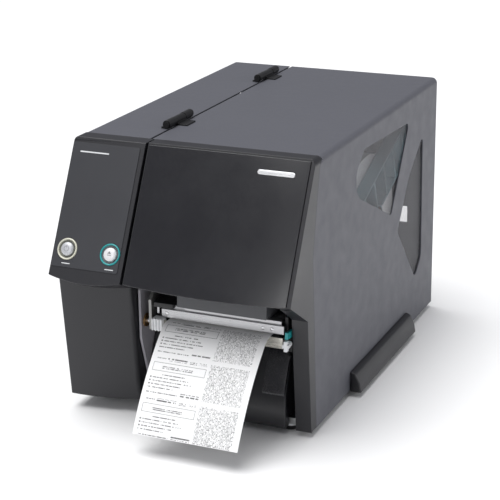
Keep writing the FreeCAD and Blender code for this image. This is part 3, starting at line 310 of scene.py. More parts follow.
@dataclass(frozen=True)
class PowderCoat(Finish):
    """Fine orange-peel paint on folded steel, with pin-point speckle."""

    speckle: float = 0.35

    def pattern(self, recipe: Recipe) -> None:
        """Lay soft cells for the peel and tiny light speckles."""
        broad = recipe.noise(9.0, 5.0, 0.55)
        peel = recipe.cells(1400.0)
        fine = recipe.noise(2600.0, 2.0)
        specks = recipe.span(fine, 0.58, 0.74, 0.0, self.speckle)
        dark, light = self.shades()
        bright = tuple(min(1.0, c * 1.9 + 0.01) for c in self.colour)
        base = recipe.tint(broad, dark, light)
        mixed = recipe.node("ShaderNodeMix", data_type="RGBA")
        recipe.feed(mixed.inputs[0], specks)
        recipe.feed(mixed.inputs[6], base)
        mixed.inputs[7].default_value = (*bright, 1)
        recipe.shade("Base Color", mixed.outputs[2])
        recipe.shade("Roughness", recipe.span(recipe.noise(60.0, 4.0), 0.3, 0.7,
                                              self.roughness - 0.04, self.roughness + 0.07))
        height = recipe.maths("ADD", recipe.maths("MULTIPLY", peel, 0.7),
                              recipe.maths("MULTIPLY", fine, 0.3))
        recipe.bump(height, self.grain_strength, self.grain_depth)


@dataclass(frozen=True)
class Drawn(Finish):
    """Metal with fine lines along one axis, from rolling or grinding."""

    lines: Axis = Axis.X

    def pattern(self, recipe: Recipe) -> None:
        """Stretch noise along the lines for colour, roughness and bump."""
        scale = [1.0, 1.0, 1.0]
        scale["XYZ".index(self.lines.value)] = 0.03
        streaks = recipe.noise(self.grain, 3.0, 0.6, recipe.placed(tuple(scale)))
        broad = recipe.noise(25.0, 3.0)
        recipe.shade("Base Color", recipe.tint(
            recipe.maths("ADD", recipe.maths("MULTIPLY", streaks, 0.6),
                         recipe.maths("MULTIPLY", broad, 0.4)), *self.shades()))
        recipe.shade("Roughness", recipe.span(streaks, 0.25, 0.75,
                                              max(0.02, self.roughness - 0.1),
                                              self.roughness + 0.12))
        recipe.bump(streaks, self.grain_strength, self.grain_depth)


@dataclass(frozen=True)
class WoundPaper(Finish):
    """Paper roll: fine rings on its ends, faint bands round its face."""

    centre: Triple = (0.0, 0.105, 0.118)
    pitch: float = 1500.0

    def pattern(self, recipe: Recipe) -> None:
        """Rings by distance from the roll's axis, each with its own faint shade."""
        apart = recipe.node("ShaderNodeSeparateXYZ")
        recipe.feed(apart.inputs[0], recipe.placed(
            (1, 1, 1), (0.0, -self.centre[1], -self.centre[2])))
        radius = recipe.maths("SQRT", recipe.maths(
            "ADD", recipe.maths("MULTIPLY", apart.outputs[1], apart.outputs[1]),
            recipe.maths("MULTIPLY", apart.outputs[2], apart.outputs[2])))
        turns = recipe.maths("MULTIPLY", radius, self.pitch)
        layer = recipe.node("ShaderNodeTexNoise", noise_dimensions="1D")
        recipe.feed(layer.inputs["W"], turns)
        layer.inputs["Scale"].default_value = 1.0
        layer.inputs["Detail"].default_value = 4.0
        fibres = recipe.noise(1800.0, 2.0)
        recipe.shade("Base Color", recipe.tint(layer.outputs["Fac"], *self.shades()))
        recipe.shade("Roughness", recipe.span(fibres, 0.3, 0.7, self.roughness - 0.05,
                                              self.roughness + 0.05))
        recipe.bump(layer.outputs["Fac"], self.grain_strength, self.grain_depth)


@dataclass(frozen=True)
class ClearSheet(Finish):
    """See-through moulded sheet with a slight tint."""

    body: float = 0.9

    def constants(self, recipe: Recipe) -> None:
        """Let most of the view through."""
        super().constants(recipe)
        recipe.shade("Alpha", 1.0 - self.body)


@dataclass(frozen=True)
class CircuitBoard(Finish):
    """Solder mask over copper tracks, with small bright pads."""

    def pattern(self, recipe: Recipe) -> None:
        """Broken square tracks and pads on green."""
        bricks = recipe.node("ShaderNodeTexBrick")
        recipe.feed(bricks.inputs["Vector"], recipe.placed((1, 1, 1), turn=(0, math.pi / 2, 0)))
        bricks.inputs["Scale"].default_value = 120.0
        bricks.inputs["Color1"].default_value = (*self.colour, 1)
        bricks.inputs["Color2"].default_value = (*(c * 0.8 for c in self.colour), 1)
        bricks.inputs["Mortar"].default_value = (*(min(1.0, c * 1.7) for c in self.colour), 1)
        bricks.inputs["Mortar Size"].default_value = 0.04
        recipe.shade("Base Color", bricks.outputs["Color"])
        recipe.shade("Roughness", recipe.span(recipe.noise(300.0), 0.3, 0.7, 0.28, 0.45))
        recipe.bump(bricks.outputs["Fac"], 0.4, 0.00004)


@dataclass(frozen=True)
class PrintedLabel(Finish):
    """White stock with a repeated block layout of marks that stand for print.

    The piece's map holds millimetres: across the strip and along it from the outlet.
    """

    pitch: float = 40.0
    ink: Triple = (0.03, 0.03, 0.032)

    def band(self, recipe: Recipe, place: Socket, low: float, high: float) -> Socket:
        """1 where low < place < high, else 0."""
        return recipe.maths("MULTIPLY", recipe.maths("GREATER_THAN", place, low),
                            recipe.maths("LESS_THAN", place, high))

    def patch(self, recipe: Recipe, across: Socket, down: Socket, box: Sequence[float]) -> Socket:
        """1 inside a rectangle given as left, right, top and bottom."""
        return recipe.maths("MULTIPLY", self.band(recipe, across, box[0], box[1]),
                            self.band(recipe, down, box[2], box[3]))

    def dashes(self, recipe: Recipe, across: Socket, along: Socket, stroke: float,
               row: float, share: float) -> Socket:
        """Rows of short strokes with chance gaps, like text too small to read.

        Args:
            recipe: the material being made.
            across: place across the strip in mm.
            along: place along the strip in mm.
            stroke: length of one stroke in mm.
            row: pitch of the rows in mm.
            share: how much of each row is inked, from 0 to 1.

        Returns:
            1 where a stroke is, else 0.
        """
        column = recipe.maths("FLOOR", recipe.maths("DIVIDE", across, stroke))
        line = recipe.maths("DIVIDE", along, row)
        step = recipe.maths("FLOOR", line)
        seat = recipe.node("ShaderNodeCombineXYZ")
        recipe.feed(seat.inputs[0], column)
        recipe.feed(seat.inputs[1], step)
        chance = recipe.node("ShaderNodeTexWhiteNoise", noise_dimensions="2D")
        recipe.feed(chance.inputs["Vector"], seat.outputs[0])
        inked = recipe.maths("LESS_THAN", chance.outputs["Value"], share)
        body = recipe.maths("GREATER_THAN", recipe.maths("SUBTRACT", line, step), 0.42)
        return recipe.maths("MULTIPLY", inked, body)

    def pattern(self, recipe: Recipe) -> None:
        """Lay the marks of one label, repeated along the strip."""
        held = recipe.node("ShaderNodeSeparateXYZ")
        recipe.feed(held.inputs[0], recipe.node("ShaderNodeTexCoord").outputs["UV"])
        across = recipe.maths("MULTIPLY", held.outputs[0], 1000.0)
        along = recipe.maths("MULTIPLY", held.outputs[1], 1000.0)
        share = recipe.maths("FLOORED_MODULO", along, self.pitch)
        small = self.dashes(recipe, across, along, 0.42, 1.18, 0.46)
        text = self.dashes(recipe, across, along, 0.7, 1.6, 0.72)
        bold = self.dashes(recipe, across, along, 1.1, 2.4, 0.85)
        marks = []
        for kind, box in (
                (small, (61, 100, 1.5, 37.5)), (text, (6, 15, 1.6, 3.9)),
                (bold, (17, 37, 1.2, 4.6)), (text, (40, 47, 1.6, 4.6)), (small, (49, 58, 2, 4.4)),
                (text, (14, 45, 9.6, 12.8)), (text, (16, 40, 17.6, 19.2)),
                (text, (7, 44, 20.8, 22.4)), (text, (7, 47, 24.0, 25.6)),
                (text, (7, 38, 27.2, 28.8)), (text, (4, 30, 30.4, 32.0)),
                (text, (4, 36, 35.2, 36.8)), (bold, (39, 58, 33.6, 36.8))):
            marks.append(recipe.maths("MULTIPLY", kind, self.patch(recipe, across, share, box)))
        for box in ((4, 5.6, 21.2, 22.6), (4, 5.6, 24.4, 25.8), (4, 5.6, 27.6, 29.0)):
            marks.append(self.patch(recipe, across, share, box))
        outer = self.patch(recipe, across, share, (4, 58, 7.0, 15.4))
        inner = self.patch(recipe, across, share, (4.4, 57.6, 7.4, 15.0))
        marks.append(recipe.maths("SUBTRACT", outer, inner))
        ink = marks[0]
        for mark in marks[1:]:
            ink = recipe.maths("MAXIMUM", ink, mark)
        ink = recipe.maths("MULTIPLY", ink, self.band(recipe, along, 2.0, 118.5))
        faded = recipe.maths("MULTIPLY", ink, recipe.span(
            recipe.noise(700.0, 2.0), 0.25, 0.7, 1.0, 0.72))
        recipe.shade("Base Color", recipe.tint(faded, self.colour, self.ink))
        fibres = recipe.noise(1500.0, 3.0)
        recipe.shade("Roughness", recipe.span(fibres, 0.3, 0.7, self.roughness - 0.06,
                                              self.roughness + 0.05))
        recipe.bump(fibres, 0.15, 0.00002)


COVER = PowderCoat("cover_powder_coat", (0.086, 0.088, 0.103), 0.5, specular=0.4, mottle=0.05,
                   grain_strength=0.35, grain_depth=0.00006)
REAR_PAINT = PowderCoat("rear_satin_paint", (0.03, 0.03, 0.033), 0.45, mottle=0.06,
                        grain_strength=0.2, grain_depth=0.00004, speckle=0.15)
BEZEL = Finish("bezel_plastic", (0.0125, 0.0125, 0.0155), 0.36, specular=0.5, mottle=0.1,
               grain=1600.0, grain_strength=0.18)
LOWER = Finish("lower_cover_plastic", (0.016, 0.016, 0.019), 0.3, mottle=0.1, grain=1500.0,
               grain_strength=0.15)
GLOSS = Finish("gloss_front", (0.0085, 0.0085, 0.011), 0.2, specular=0.55, coat=0.25, mottle=0.06,
               grain=500.0, grain_strength=0.04)
FILM = Finish("overlay_film", (0.026, 0.027, 0.032), 0.42, mottle=0.04, grain=2200.0,
              grain_strength=0.15)
BLACK = Finish("black_plastic", (0.010, 0.010, 0.011), 0.42, grain_strength=0.25)
BLACK_METAL = Finish("black_oxide", (0.012, 0.012, 0.013), 0.38, metallic=0.3, grain=1200.0)
CAP_GREY = Finish("head_cap_plastic", (0.075, 0.077, 0.083), 0.45, grain=1400.0)
WHITE = Finish("white_plastic", (0.78, 0.79, 0.80), 0.38, grain=1500.0)
CREAM = Finish("cream_ring", (0.66, 0.65, 0.54), 0.3, mottle=0.03)
TEAL = Finish("teal_ring", (0.022, 0.30, 0.31), 0.3, mottle=0.04)
# Painted shade: the cream ring's colour darkened for the shade inside the pause button's sunken
# well.
CREAM_IN_SHADE = Finish("button_well_cream_in_shade", (0.19, 0.19, 0.155), 0.5)
WELL = Finish("button_well_dark", (0.13, 0.14, 0.15), 0.5)
SILVER_CAP = Finish("silver_button", (0.50, 0.51, 0.53), 0.34, metallic=0.35, mottle=0.05,
                    grain=1300.0)
PEARL_CAP = Finish("pearl_button", (0.70, 0.70, 0.71), 0.3, metallic=0.15, mottle=0.05,
                   grain=1300.0)
LEGEND = Finish("printed_legend", (0.62, 0.63, 0.64), 0.45, mottle=0.03)
PALE_METAL = Drawn("head_bar_metal", (0.46, 0.46, 0.47), 0.3, metallic=0.85, lines=Axis.X,
                   grain=420.0, grain_strength=0.2)
ZINC = Drawn("zinc_steel", (0.50, 0.51, 0.51), 0.36, metallic=0.9, lines=Axis.Y, grain=260.0,
             mottle=0.12)
BRIGHT = Drawn("bright_steel", (0.62, 0.62, 0.63), 0.18, metallic=1.0, lines=Axis.X, grain=500.0,
               grain_strength=0.12)
TEAR = Drawn("tear_steel", (0.74, 0.72, 0.65), 0.24, metallic=0.9, lines=Axis.X, grain=500.0,
             grain_strength=0.12)
BRONZE = Finish("sintered_bronze", (0.35, 0.21, 0.09), 0.45, metallic=0.9, grain=1800.0)
RUBBER = Finish("foot_rubber", (0.012, 0.012, 0.012), 0.75, mottle=0.2, grain=1100.0,
                grain_strength=0.5)
PLATEN = Finish("platen_rubber", (0.018, 0.018, 0.019), 0.6, mottle=0.15, grain=1500.0,
                grain_strength=0.45)
BELT = Finish("belt_rubber", (0.010, 0.010, 0.010), 0.65, grain=900.0, grain_strength=0.4)
CERAMIC = Finish("heater_ceramic", (0.62, 0.60, 0.53), 0.18, coat=0.4, mottle=0.03)
PAPER = Finish("label_stock", (0.84, 0.84, 0.83), 0.55, mottle=0.02, grain=1500.0,
               grain_strength=0.15)
ROLL = WoundPaper("wound_labels", (0.78, 0.79, 0.80), 0.6, mottle=0.05, grain_strength=0.3)
CORE = Finish("core_board", (0.34, 0.24, 0.14), 0.75, mottle=0.12, grain=700.0,
              grain_strength=0.5)
PRINT = PrintedLabel("printed_labels", (0.84, 0.84, 0.84), 0.5)
PANE = ClearSheet("clear_tint", (0.16, 0.16, 0.175), 0.2, specular=0.15, mottle=0.04,
                  grain_strength=0.02, body=0.72)
GUIDE_BLUE = ClearSheet("clear_blue", (0.30, 0.52, 0.58), 0.25, mottle=0.12, grain_strength=0.1,
                        body=0.3)
WALL_GREY = PowderCoat("wall_grey_paint", (0.34, 0.33, 0.36), 0.5, mottle=0.04,
                       grain_strength=0.2, grain_depth=0.00004, speckle=0.1)
# Painted shade: the left mechanism plate is the same galvanised steel as zinc_steel, its colour
# made darker for the shade that it sits in.
PLATE = Drawn("shaded_plate_steel", (0.30, 0.30, 0.29), 0.42, metallic=0.7, lines=Axis.Z, grain=260.0,
              mottle=0.12)
PAD = Finish("ledge_plastic", (0.028, 0.028, 0.032), 0.27, specular=0.6, mottle=0.08,
             grain=1500.0, grain_strength=0.08)
BADGE = Drawn("badge_metal", (0.75, 0.75, 0.76), 0.25, metallic=0.8, lines=Axis.X, grain=420.0)
ICON = Finish("button_icon", (0.20, 0.20, 0.21), 0.5, mottle=0.05)
GOLD = Finish("contact_gold", (0.75, 0.52, 0.2), 0.25, metallic=1.0, mottle=0.05)
PLATE_LABEL = Finish("rating_foil", (0.55, 0.56, 0.57), 0.35, metallic=0.4, mottle=0.03,
                     grain=1300.0)
BOARD = CircuitBoard("circuit_board", (0.01, 0.10, 0.045), 0.35)
MOTOR = Drawn("motor_lamination", (0.05, 0.05, 0.052), 0.42, metallic=0.6, lines=Axis.Y,
              grain=900.0)

NODE_FINISHES: dict[str, Finish] = {
    "base_tray": ZINC, "centre_wall": WALL_GREY, "rear_panel": REAR_PAINT,
    "electronics_cover": COVER, "control_bezel": BEZEL, "control_overlay": FILM,
    "pause_button_ring": CREAM, "feed_button_ring": TEAL, "control_board": BOARD,
    "front_column": BEZEL, "lower_front_cover": LOWER, "front_ledge_pad": PAD,
    "rubber_feet": RUBBER, "foot_cups": WHITE, "case_screws": BLACK_METAL, "main_board": BOARD,
    "power_supply": BOARD, "power_inlet": BLACK, "data_ports": BRIGHT, "rocker_housing": BLACK,
    "stepper_motor": MOTOR, "drive_belt": BELT, "mech_left_plate": PLATE,
    "mech_right_plate": BLACK_METAL, "mech_base": BLACK_METAL, "tear_plate": TEAR,
    "platen_bushings": BRONZE, "head_pivot_shaft": BRIGHT, "spindle_axles": BRIGHT,
    "media_hanger": BLACK, "damper_rod": BRIGHT, "label_web": PAPER,
    "hinge_bases": BLACK_METAL, "hinge_pins": BLACK_METAL, "media_cover": COVER,
    "window_panes": PANE, "door_bezel": BEZEL, "front_panel": GLOSS, "grip_handle": BEZEL,
    "hinge_leaves": BLACK_METAL, "pause_button": SILVER_CAP, "feed_button": PEARL_CAP,
    "power_rocker": BLACK, "head_bracket": PALE_METAL, "heatsink": PALE_METAL,
    "thermal_strip": CERAMIC, "head_cover": CAP_GREY, "latch_shaft": BRIGHT, "latch_lever": TEAL,
    "platen_roller": PLATEN, "platen_shaft": BRIGHT, "platen_pulley": BLACK,
    "motor_pulley": BRIGHT, "label_roll": ROLL, "roll_core": CORE,
    "ribbon_rewind_spindle": CAP_GREY, "ribbon_supply_spindle": CAP_GREY,
    "media_guide": GUIDE_BLUE, "label_guide": WHITE, "tear_plate_knob": WHITE,
}


# ------------------------------------------------------------------ modelling by hand


class Bench:
    """Modelling steps, each the operator that a person would use."""

    @staticmethod
    def clear() -> None:
        """Leave edit mode and let go of everything."""
        if bpy.context.object and bpy.context.object.mode != "OBJECT":
            bpy.ops.object.mode_set(mode="OBJECT")
        bpy.ops.object.select_all(action="DESELECT")

    @staticmethod
    def settle(piece: Mesh, name: str) -> Mesh:
        """Name a piece and put its place into its mesh.

        Args:
            piece: the piece.
            name: its name.

        Returns:
            The piece, its object at the origin.
        """
        Bench.clear()
        piece.name = name
        piece.data.name = name
        piece.select_set(True)
        bpy.context.view_layer.objects.active = piece
        bpy.ops.object.transform_apply(location=True, rotation=True, scale=True)
        return piece

    @staticmethod
    def modify(piece: Mesh, kind: str, **settings: object) -> Mesh:
        """Add a modifier, set it and apply it.

        Args:
            piece: the piece.
            kind: Blender's name of the modifier.
            settings: its properties by name.

        Returns:
            The piece.
        """
        Bench.clear()
        piece.select_set(True)
        bpy.context.view_layer.objects.active = piece
        modifier = piece.modifiers.new(kind.title(), kind)
        for name, value in settings.items():
            setattr(modifier, name, value)
        bpy.ops.object.modifier_apply(modifier=modifier.name)
        return piece

    @staticmethod
    def smooth(piece: Mesh, degrees: float = 30.0) -> Mesh:
        """Shade smooth except across sharp corners.

        Args:
            piece: the piece.
            degrees: the least angle of a corner that stays sharp.

        Returns:
            The piece.
        """
        Bench.clear()
        piece.select_set(True)
        bpy.context.view_layer.objects.active = piece
        bpy.ops.object.shade_smooth_by_angle(angle=math.radians(degrees))
        return piece

    @staticmethod
    def outward(piece: Mesh) -> Mesh:
        """Merge doubles and point the faces out."""
        Bench.clear()
        bpy.context.view_layer.objects.active = piece
        bpy.ops.object.mode_set(mode="EDIT")
        bpy.ops.mesh.select_all(action="SELECT")
        bpy.ops.mesh.remove_doubles(threshold=1e-7)
        bpy.ops.mesh.normals_make_consistent(inside=False)
        bpy.ops.object.mode_set(mode="OBJECT")
        return piece

    @staticmethod
    def slab(name: str, low: Vector, high: Vector, edge: float = 0.0, rounds: int = 3) -> Mesh:
        """A block between two corners, its edges bevelled.

        Args:
            name: the piece's name.
            low: lowest corner in metres.
            high: highest corner in metres.
            edge: width of the bevel in metres.
            rounds: segments of the bevel.

        Returns:
            The finished block.
        """
        Bench.clear()
        bpy.ops.mesh.primitive_cube_add(size=1.0, location=(low + high) / 2)
        piece = bpy.context.object
        piece.scale = high - low
        Bench.settle(piece, name)
        if edge:
            bpy.ops.object.mode_set(mode="EDIT")
            bpy.ops.mesh.select_all(action="SELECT")
            bpy.ops.mesh.bevel(offset=edge, segments=rounds, profile=0.5, affect="EDGES")
            bpy.ops.object.mode_set(mode="OBJECT")
        return Bench.smooth(piece)

    @staticmethod
    def turned(name: str, profile: Sequence[tuple[float, float]], sides: int = 64,
               close: bool = False) -> Mesh:
        """A round piece about Z: a circle extruded and scaled from step to step.

        Args:
            name: the piece's name.
            profile: radius and height of each step in metres; a radius of 0 ends in a point.
            sides: how many sides the circle has.
            close: join the last step to the first, for a ring.

        Returns:
            The finished piece, about the origin.
        """
        Bench.clear()
        radius, height = profile[0]
        bpy.ops.mesh.primitive_circle_add(vertices=sides, radius=max(radius, 1e-5),
                                          location=(0, 0, height))
        piece = Bench.settle(bpy.context.object, name)
        bpy.ops.object.mode_set(mode="EDIT")
        bpy.ops.mesh.select_all(action="SELECT")
        if not close:
            bpy.ops.mesh.edge_face_add()
        steps = list(profile[1:]) + ([profile[0]] if close else [])
        for wide, tall in steps:
            bpy.ops.mesh.extrude_region_move(
                TRANSFORM_OT_translate={"value": (0, 0, tall - height)})
            ratio = max(wide, 1e-5) / max(radius, 1e-5)
            bpy.ops.transform.resize(value=(ratio, ratio, 1), center_override=(0, 0, tall))
            radius, height = wide, tall
        bpy.ops.object.mode_set(mode="OBJECT")
        Bench.outward(piece)
        return Bench.smooth(piece, 35.0)

    @staticmethod
    def prism(name: str, outline: Sequence[Vector], reach: Vector, edge: float = 0.0) -> Mesh:
        """A flat outline, drawn vertex by vertex, filled and pulled along a vector.

        Args:
            name: the piece's name.
            outline: the corners in order, in metres.
            reach: how far the outline is pulled.
            edge: width of the bevel on all edges.

        Returns:
            The finished prism.
        """
        Bench.clear()
        bpy.ops.mesh.primitive_plane_add(size=0.001, location=outline[0])
        piece = Bench.settle(bpy.context.object, name)
        bpy.ops.object.mode_set(mode="EDIT")
        bpy.ops.mesh.select_all(action="SELECT")
        bpy.ops.mesh.merge(type="CENTER")
        here = outline[0]
        for spot in outline[1:]:
            bpy.ops.mesh.extrude_region_move(TRANSFORM_OT_translate={"value": spot - here})
            here = spot
        bpy.ops.mesh.select_all(action="SELECT")
        bpy.ops.mesh.edge_face_add()
        bpy.ops.mesh.extrude_region_move(TRANSFORM_OT_translate={"value": reach})
        bpy.ops.object.mode_set(mode="OBJECT")
        Bench.outward(piece)
        if edge:
            Bench.modify(piece, "BEVEL", width=edge, segments=2, limit_method="ANGLE")
        return Bench.smooth(piece)

    @staticmethod
    def posed(piece: Mesh, matrix: Matrix) -> Mesh:
        """Move a finished piece by a matrix, leaving its object at the origin."""
        piece.matrix_world = matrix
        return Bench.settle(piece, piece.name)

    @staticmethod
    def copied(piece: Mesh, name: str, matrix: Matrix) -> Mesh:
        """A copy with its own mesh, put in place by a matrix.

        Args:
            piece: the piece modelled once.
            name: the copy's name.
            matrix: where the copy goes.

        Returns:
            The copy, its object at the origin.
        """
        twin = piece.copy()
        twin.data = piece.data.copy()
        bpy.context.scene.collection.objects.link(twin)
        twin.matrix_world = matrix
        return Bench.settle(twin, name)

    @staticmethod
    def joined(name: str, pieces: Iterable[Mesh]) -> Mesh:
        """Several pieces as one.

        Args:
            name: the new piece's name.
            pieces: the pieces, which are used up.

        Returns:
            The joined piece.
        """
        Bench.clear()
        members = list(pieces)
        for member in members:
            member.select_set(True)
        bpy.context.view_layer.objects.active = members[0]
        bpy.ops.object.join()
        return Bench.settle(members[0], name)


def fit(piece: Mesh, body: str, slot: str, finish: Finish, *stands_for: str) -> Mesh:
    """Dress a new piece, tie it to a body and hide the CAD nodes that it stands for.

    Args:
        piece: the finished piece.
        body: the CAD body that it rides on.
        slot: the record's material slot; not used.
        finish: how it looks.
        stands_for: CAD nodes that it replaces.

    Returns:
        The piece.
    """
    piece.data.materials.clear()
    piece.data.materials.append(finish.make())
    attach(piece, body)
    if stands_for:
        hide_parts(*stands_for)
    log.info("made %s on %s", piece.name, body)
    return piece


# ------------------------------------------------------------------ sub-assemblies


@dataclass
class Frame:
    """The CAD nodes with their finishes; copies with rounded corners stand for most of them."""

    finishes: dict[str, Finish] = field(default_factory=lambda: dict(NODE_FINISHES))
    rounding: dict[str, float] = field(default_factory=lambda: {
        "control_bezel": 0.9, "door_bezel": 0.8, "front_column": 1.0, "lower_front_cover": 1.0,
        "front_ledge_pad": 0.8, "front_panel": 0.5, "control_overlay": 0.15,
        "electronics_cover": 0.5, "media_cover": 0.5, "rear_panel": 0.4, "grip_handle": 1.5,
        "mech_left_plate": 0.3, "mech_right_plate": 0.3, "mech_base": 0.4, "tear_plate": 0.2,
        "head_bracket": 0.35, "heatsink": 0.3, "head_cover": 0.8, "label_guide": 0.3,
        "tear_plate_knob": 0.4, "latch_lever": 0.5, "hinge_bases": 0.5, "hinge_leaves": 0.5,
        "rocker_housing": 0.5, "power_rocker": 0.4, "power_inlet": 0.5, "stepper_motor": 0.8,
        "rubber_feet": 0.8, "foot_cups": 0.6, "media_guide": 0.4, "media_hanger": 0.6,
        "ribbon_rewind_spindle": 0.4, "ribbon_supply_spindle": 0.4, "platen_pulley": 0.4,
        "base_tray": 0.3, "centre_wall": 0.3, "data_ports": 0.25})

    def build(self) -> None:
        """Give every node its finish, then round the corners of the pressed and moulded ones."""
        for name, node in frame["nodes"].items():
            material = self.finishes[name].make()
            for slot in node.material_slots:
                slot.link = "OBJECT"
                slot.material = material
        slots = {part["node"]: part["material_slot"] for part in frame["record"]["subparts"]}
        owners = {node: body for body, nodes in frame["record"]["behaviour"]["bodies"].items()
                  for node in nodes}
        for name, width in self.rounding.items():
            piece = self.rounded(name, width)
            fit(piece, owners[name], slots[name], self.finishes[name], name)

    def rounded(self, name: str, width: float) -> Mesh:
        """A merged copy of a node with its sharp edges bevelled.

        Args:
            name: the node.
            width: width of the bevel in mm.

        Returns:
            The new piece.
        """
        Bench.clear()
        source = frame["nodes"][name]
        piece = bpy.data.objects.new(f"{name}_body", source.data.copy())
        bpy.context.scene.collection.objects.link(piece)
        bpy.context.view_layer.objects.active = piece
        piece.select_set(True)
        bpy.ops.object.mode_set(mode="EDIT")
        bpy.ops.mesh.select_all(action="SELECT")
        bpy.ops.mesh.remove_doubles(threshold=2e-6)
        bpy.ops.mesh.dissolve_limited(angle_limit=math.radians(0.4))
        bpy.ops.object.mode_set(mode="OBJECT")
        Bench.modify(piece, "BEVEL", width=width * MM, segments=2, limit_method="ANGLE",
                     angle_limit=math.radians(32))
        Bench.smooth(piece, 34.0)
        return Bench.modify(piece, "WEIGHTED_NORMAL", keep_sharp=True)


@dataclass
class Slope:
    """The slanted front's own layout: across, up and out from its lip."""

    angle: float = math.atan2(120.0, 62.5)
    lip: tuple[float, float] = (-80.0, 150.0)

    def matrix(self, across: float, up: float, out: float = 0.0) -> Matrix:
        """Where a piece drawn about the origin goes, given its place in mm."""
        start = Matrix.Translation(machine(0, *self.lip))
        turn = Matrix.Rotation(self.angle, 4, "X")
        return start @ turn @ Matrix.Translation(Vector((across, up, out)) * MM)

    def height(self, node: str, across: float, up: float) -> float:
        """How far a node's surface stands out of the slope's plane at a place, in mm."""
        place = self.matrix(across, up, 40.0)
        inward = -(place.to_3x3() @ Vector((0, 0, 1)))
        spot, _ = touch(node, place.translation, inward)
        return 40.0 - (spot - place.translation).length / MM

    def bar(self, name: str, size: Triple, across: float, up: float, out: float) -> Mesh:
        """A flat bar with round ends, lying on the slope."""
        long, tall, thick = (v * MM for v in size)
        piece = Bench.slab(name, Vector((-long / 2, -tall / 2, 0)),
                           Vector((long / 2, tall / 2, thick)))
        Bench.clear()
        bpy.context.view_layer.objects.active = piece
        bpy.ops.object.mode_set(mode="EDIT")
        bpy.ops.mesh.select_mode(type="EDGE")
        bpy.ops.mesh.select_all(action="DESELECT")
        bpy.ops.object.mode_set(mode="OBJECT")
        corners = piece.data.vertices
        for edge in piece.data.edges:
            first, second = (corners[index].co.z for index in edge.vertices)
            edge.select = abs(first - second) > thick / 2
        bpy.ops.object.mode_set(mode="EDIT")
        bpy.ops.mesh.bevel(offset=min(long, tall) * 0.49, segments=6, affect="EDGES")
        bpy.ops.mesh.select_mode(type="VERT")
        bpy.ops.object.mode_set(mode="OBJECT")
        Bench.modify(piece, "BEVEL", width=thick * 0.3, segments=2, limit_method="ANGLE")
        return Bench.posed(Bench.smooth(piece), self.matrix(across, up, out))


@dataclass
class ControlButton:
    """A push button: its rim, its sunken well and its domed cap."""

    key: str
    across: float
    rim_finish: Finish
    well_finish: Finish
    cap_finish: Finish
    rim_slot: str
    up: float = 26.4
    slope: Slope = field(default_factory=Slope)

    def build(self) -> None:
        """Make the rim, the cap and its mark."""
        place = self.slope.matrix(self.across, self.up)
        rim = Bench.turned(f"{self.key}_rim", [
            (0.0087, 0.0), (0.0104, 0.0), (0.0104, 0.0010), (0.0101, 0.0015), (0.0096, 0.0017),
            (0.0092, 0.0015), (0.00895, 0.0009), (0.0087, 0.0005)], 96, close=True)
        fit(Bench.posed(rim, place), "chassis", self.rim_slot, self.rim_finish,
            f"{self.key}_button_ring")
        well = Bench.turned(f"{self.key}_well", [
            (0.00865, 0.0006), (0.0085, 0.0001), (0.0079, -0.0004), (0.0072, -0.0006),
            (0.0070, -0.0042), (0.0078, -0.0044), (0.00865, -0.0040)], 96, close=True)
        fit(Bench.posed(well, place), f"{self.key}_key", "silver_cap", self.well_finish)
        cap = Bench.turned(f"{self.key}_cap", [
            (0.0018, -0.0078), (0.0020, -0.0052), (0.0095, -0.0050), (0.0097, -0.0028),
            (0.0066, -0.0028), (0.0066, 0.0006), (0.0064, 0.0013), (0.0058, 0.0019),
            (0.0046, 0.00235), (0.0030, 0.0026), (0.0012, 0.0027), (0.0, 0.0027)], 96)
        fit(Bench.posed(cap, place), f"{self.key}_key", "silver_cap", self.cap_finish,
            f"{self.key}_button")
        self.icon(place)

    def icon(self, place: Matrix) -> None:
        """A ring with a bar through its top, or a bar over an arrowhead."""
        if self.key == "pause":
            ring = Bench.turned("pause_icon", [(0.0023, 0.0024), (0.0027, 0.0024),
                                               (0.0027, 0.00266), (0.0023, 0.00274)], 48,
                                close=True)
            bar = Bench.slab("pause_icon_bar", Vector((-0.0002, 0.0008, 0.0022)),
                             Vector((0.0002, 0.0036, 0.00275)), 0.00008)
            parts = [ring, bar]
        else:
            head = Bench.prism("feed_icon", [Vector((-0.002, 0.0004, 0.0022)),
                                             Vector((0.002, 0.0004, 0.0022)),
                                             Vector((0, 0.0027, 0.0022))],
                               Vector((0, 0, 0.00056)))
            bar = Bench.slab("feed_icon_bar", Vector((-0.002, -0.0012, 0.0022)),
                             Vector((0.002, -0.0005, 0.00276)), 0.00008)
            parts = [head, bar]
        icon = Bench.joined(f"{self.key}_icon", parts)
        fit(Bench.posed(icon, place), f"{self.key}_key", "silver_cap", ICON)


@dataclass
class FrontMarks:
    """Plain printed rules on the overlay and the blank metal badge of the gloss front."""

    slope: Slope = field(default_factory=Slope)
    badge: tuple[float, float] = (212.8, 119.5)

    def build(self) -> None:
        """Lay the rules and the badge on their surfaces."""
        for name, long, tall, across, up in (
                ("title_rule", 31.0, 1.3, 25.0, 121.0), ("pause_rule", 9.0, 0.9, 16.5, 12.6),
                ("feed_rule", 9.0, 0.9, 63.0, 11.9)):
            out = self.slope.height("control_overlay", across, up)
            rule = self.slope.bar(name, (long, tall, 0.12), across, up, out - 0.04)
            fit(rule, "chassis", "overlay_film", LEGEND)
        across, up = self.badge
        out = self.slope.height("front_panel", across, up)
        bar = self.slope.bar("blank_badge", (37.0, 4.6, 1.1), across, up, out - 0.5)
        fit(bar, "media_door", "bright_steel", BADGE)


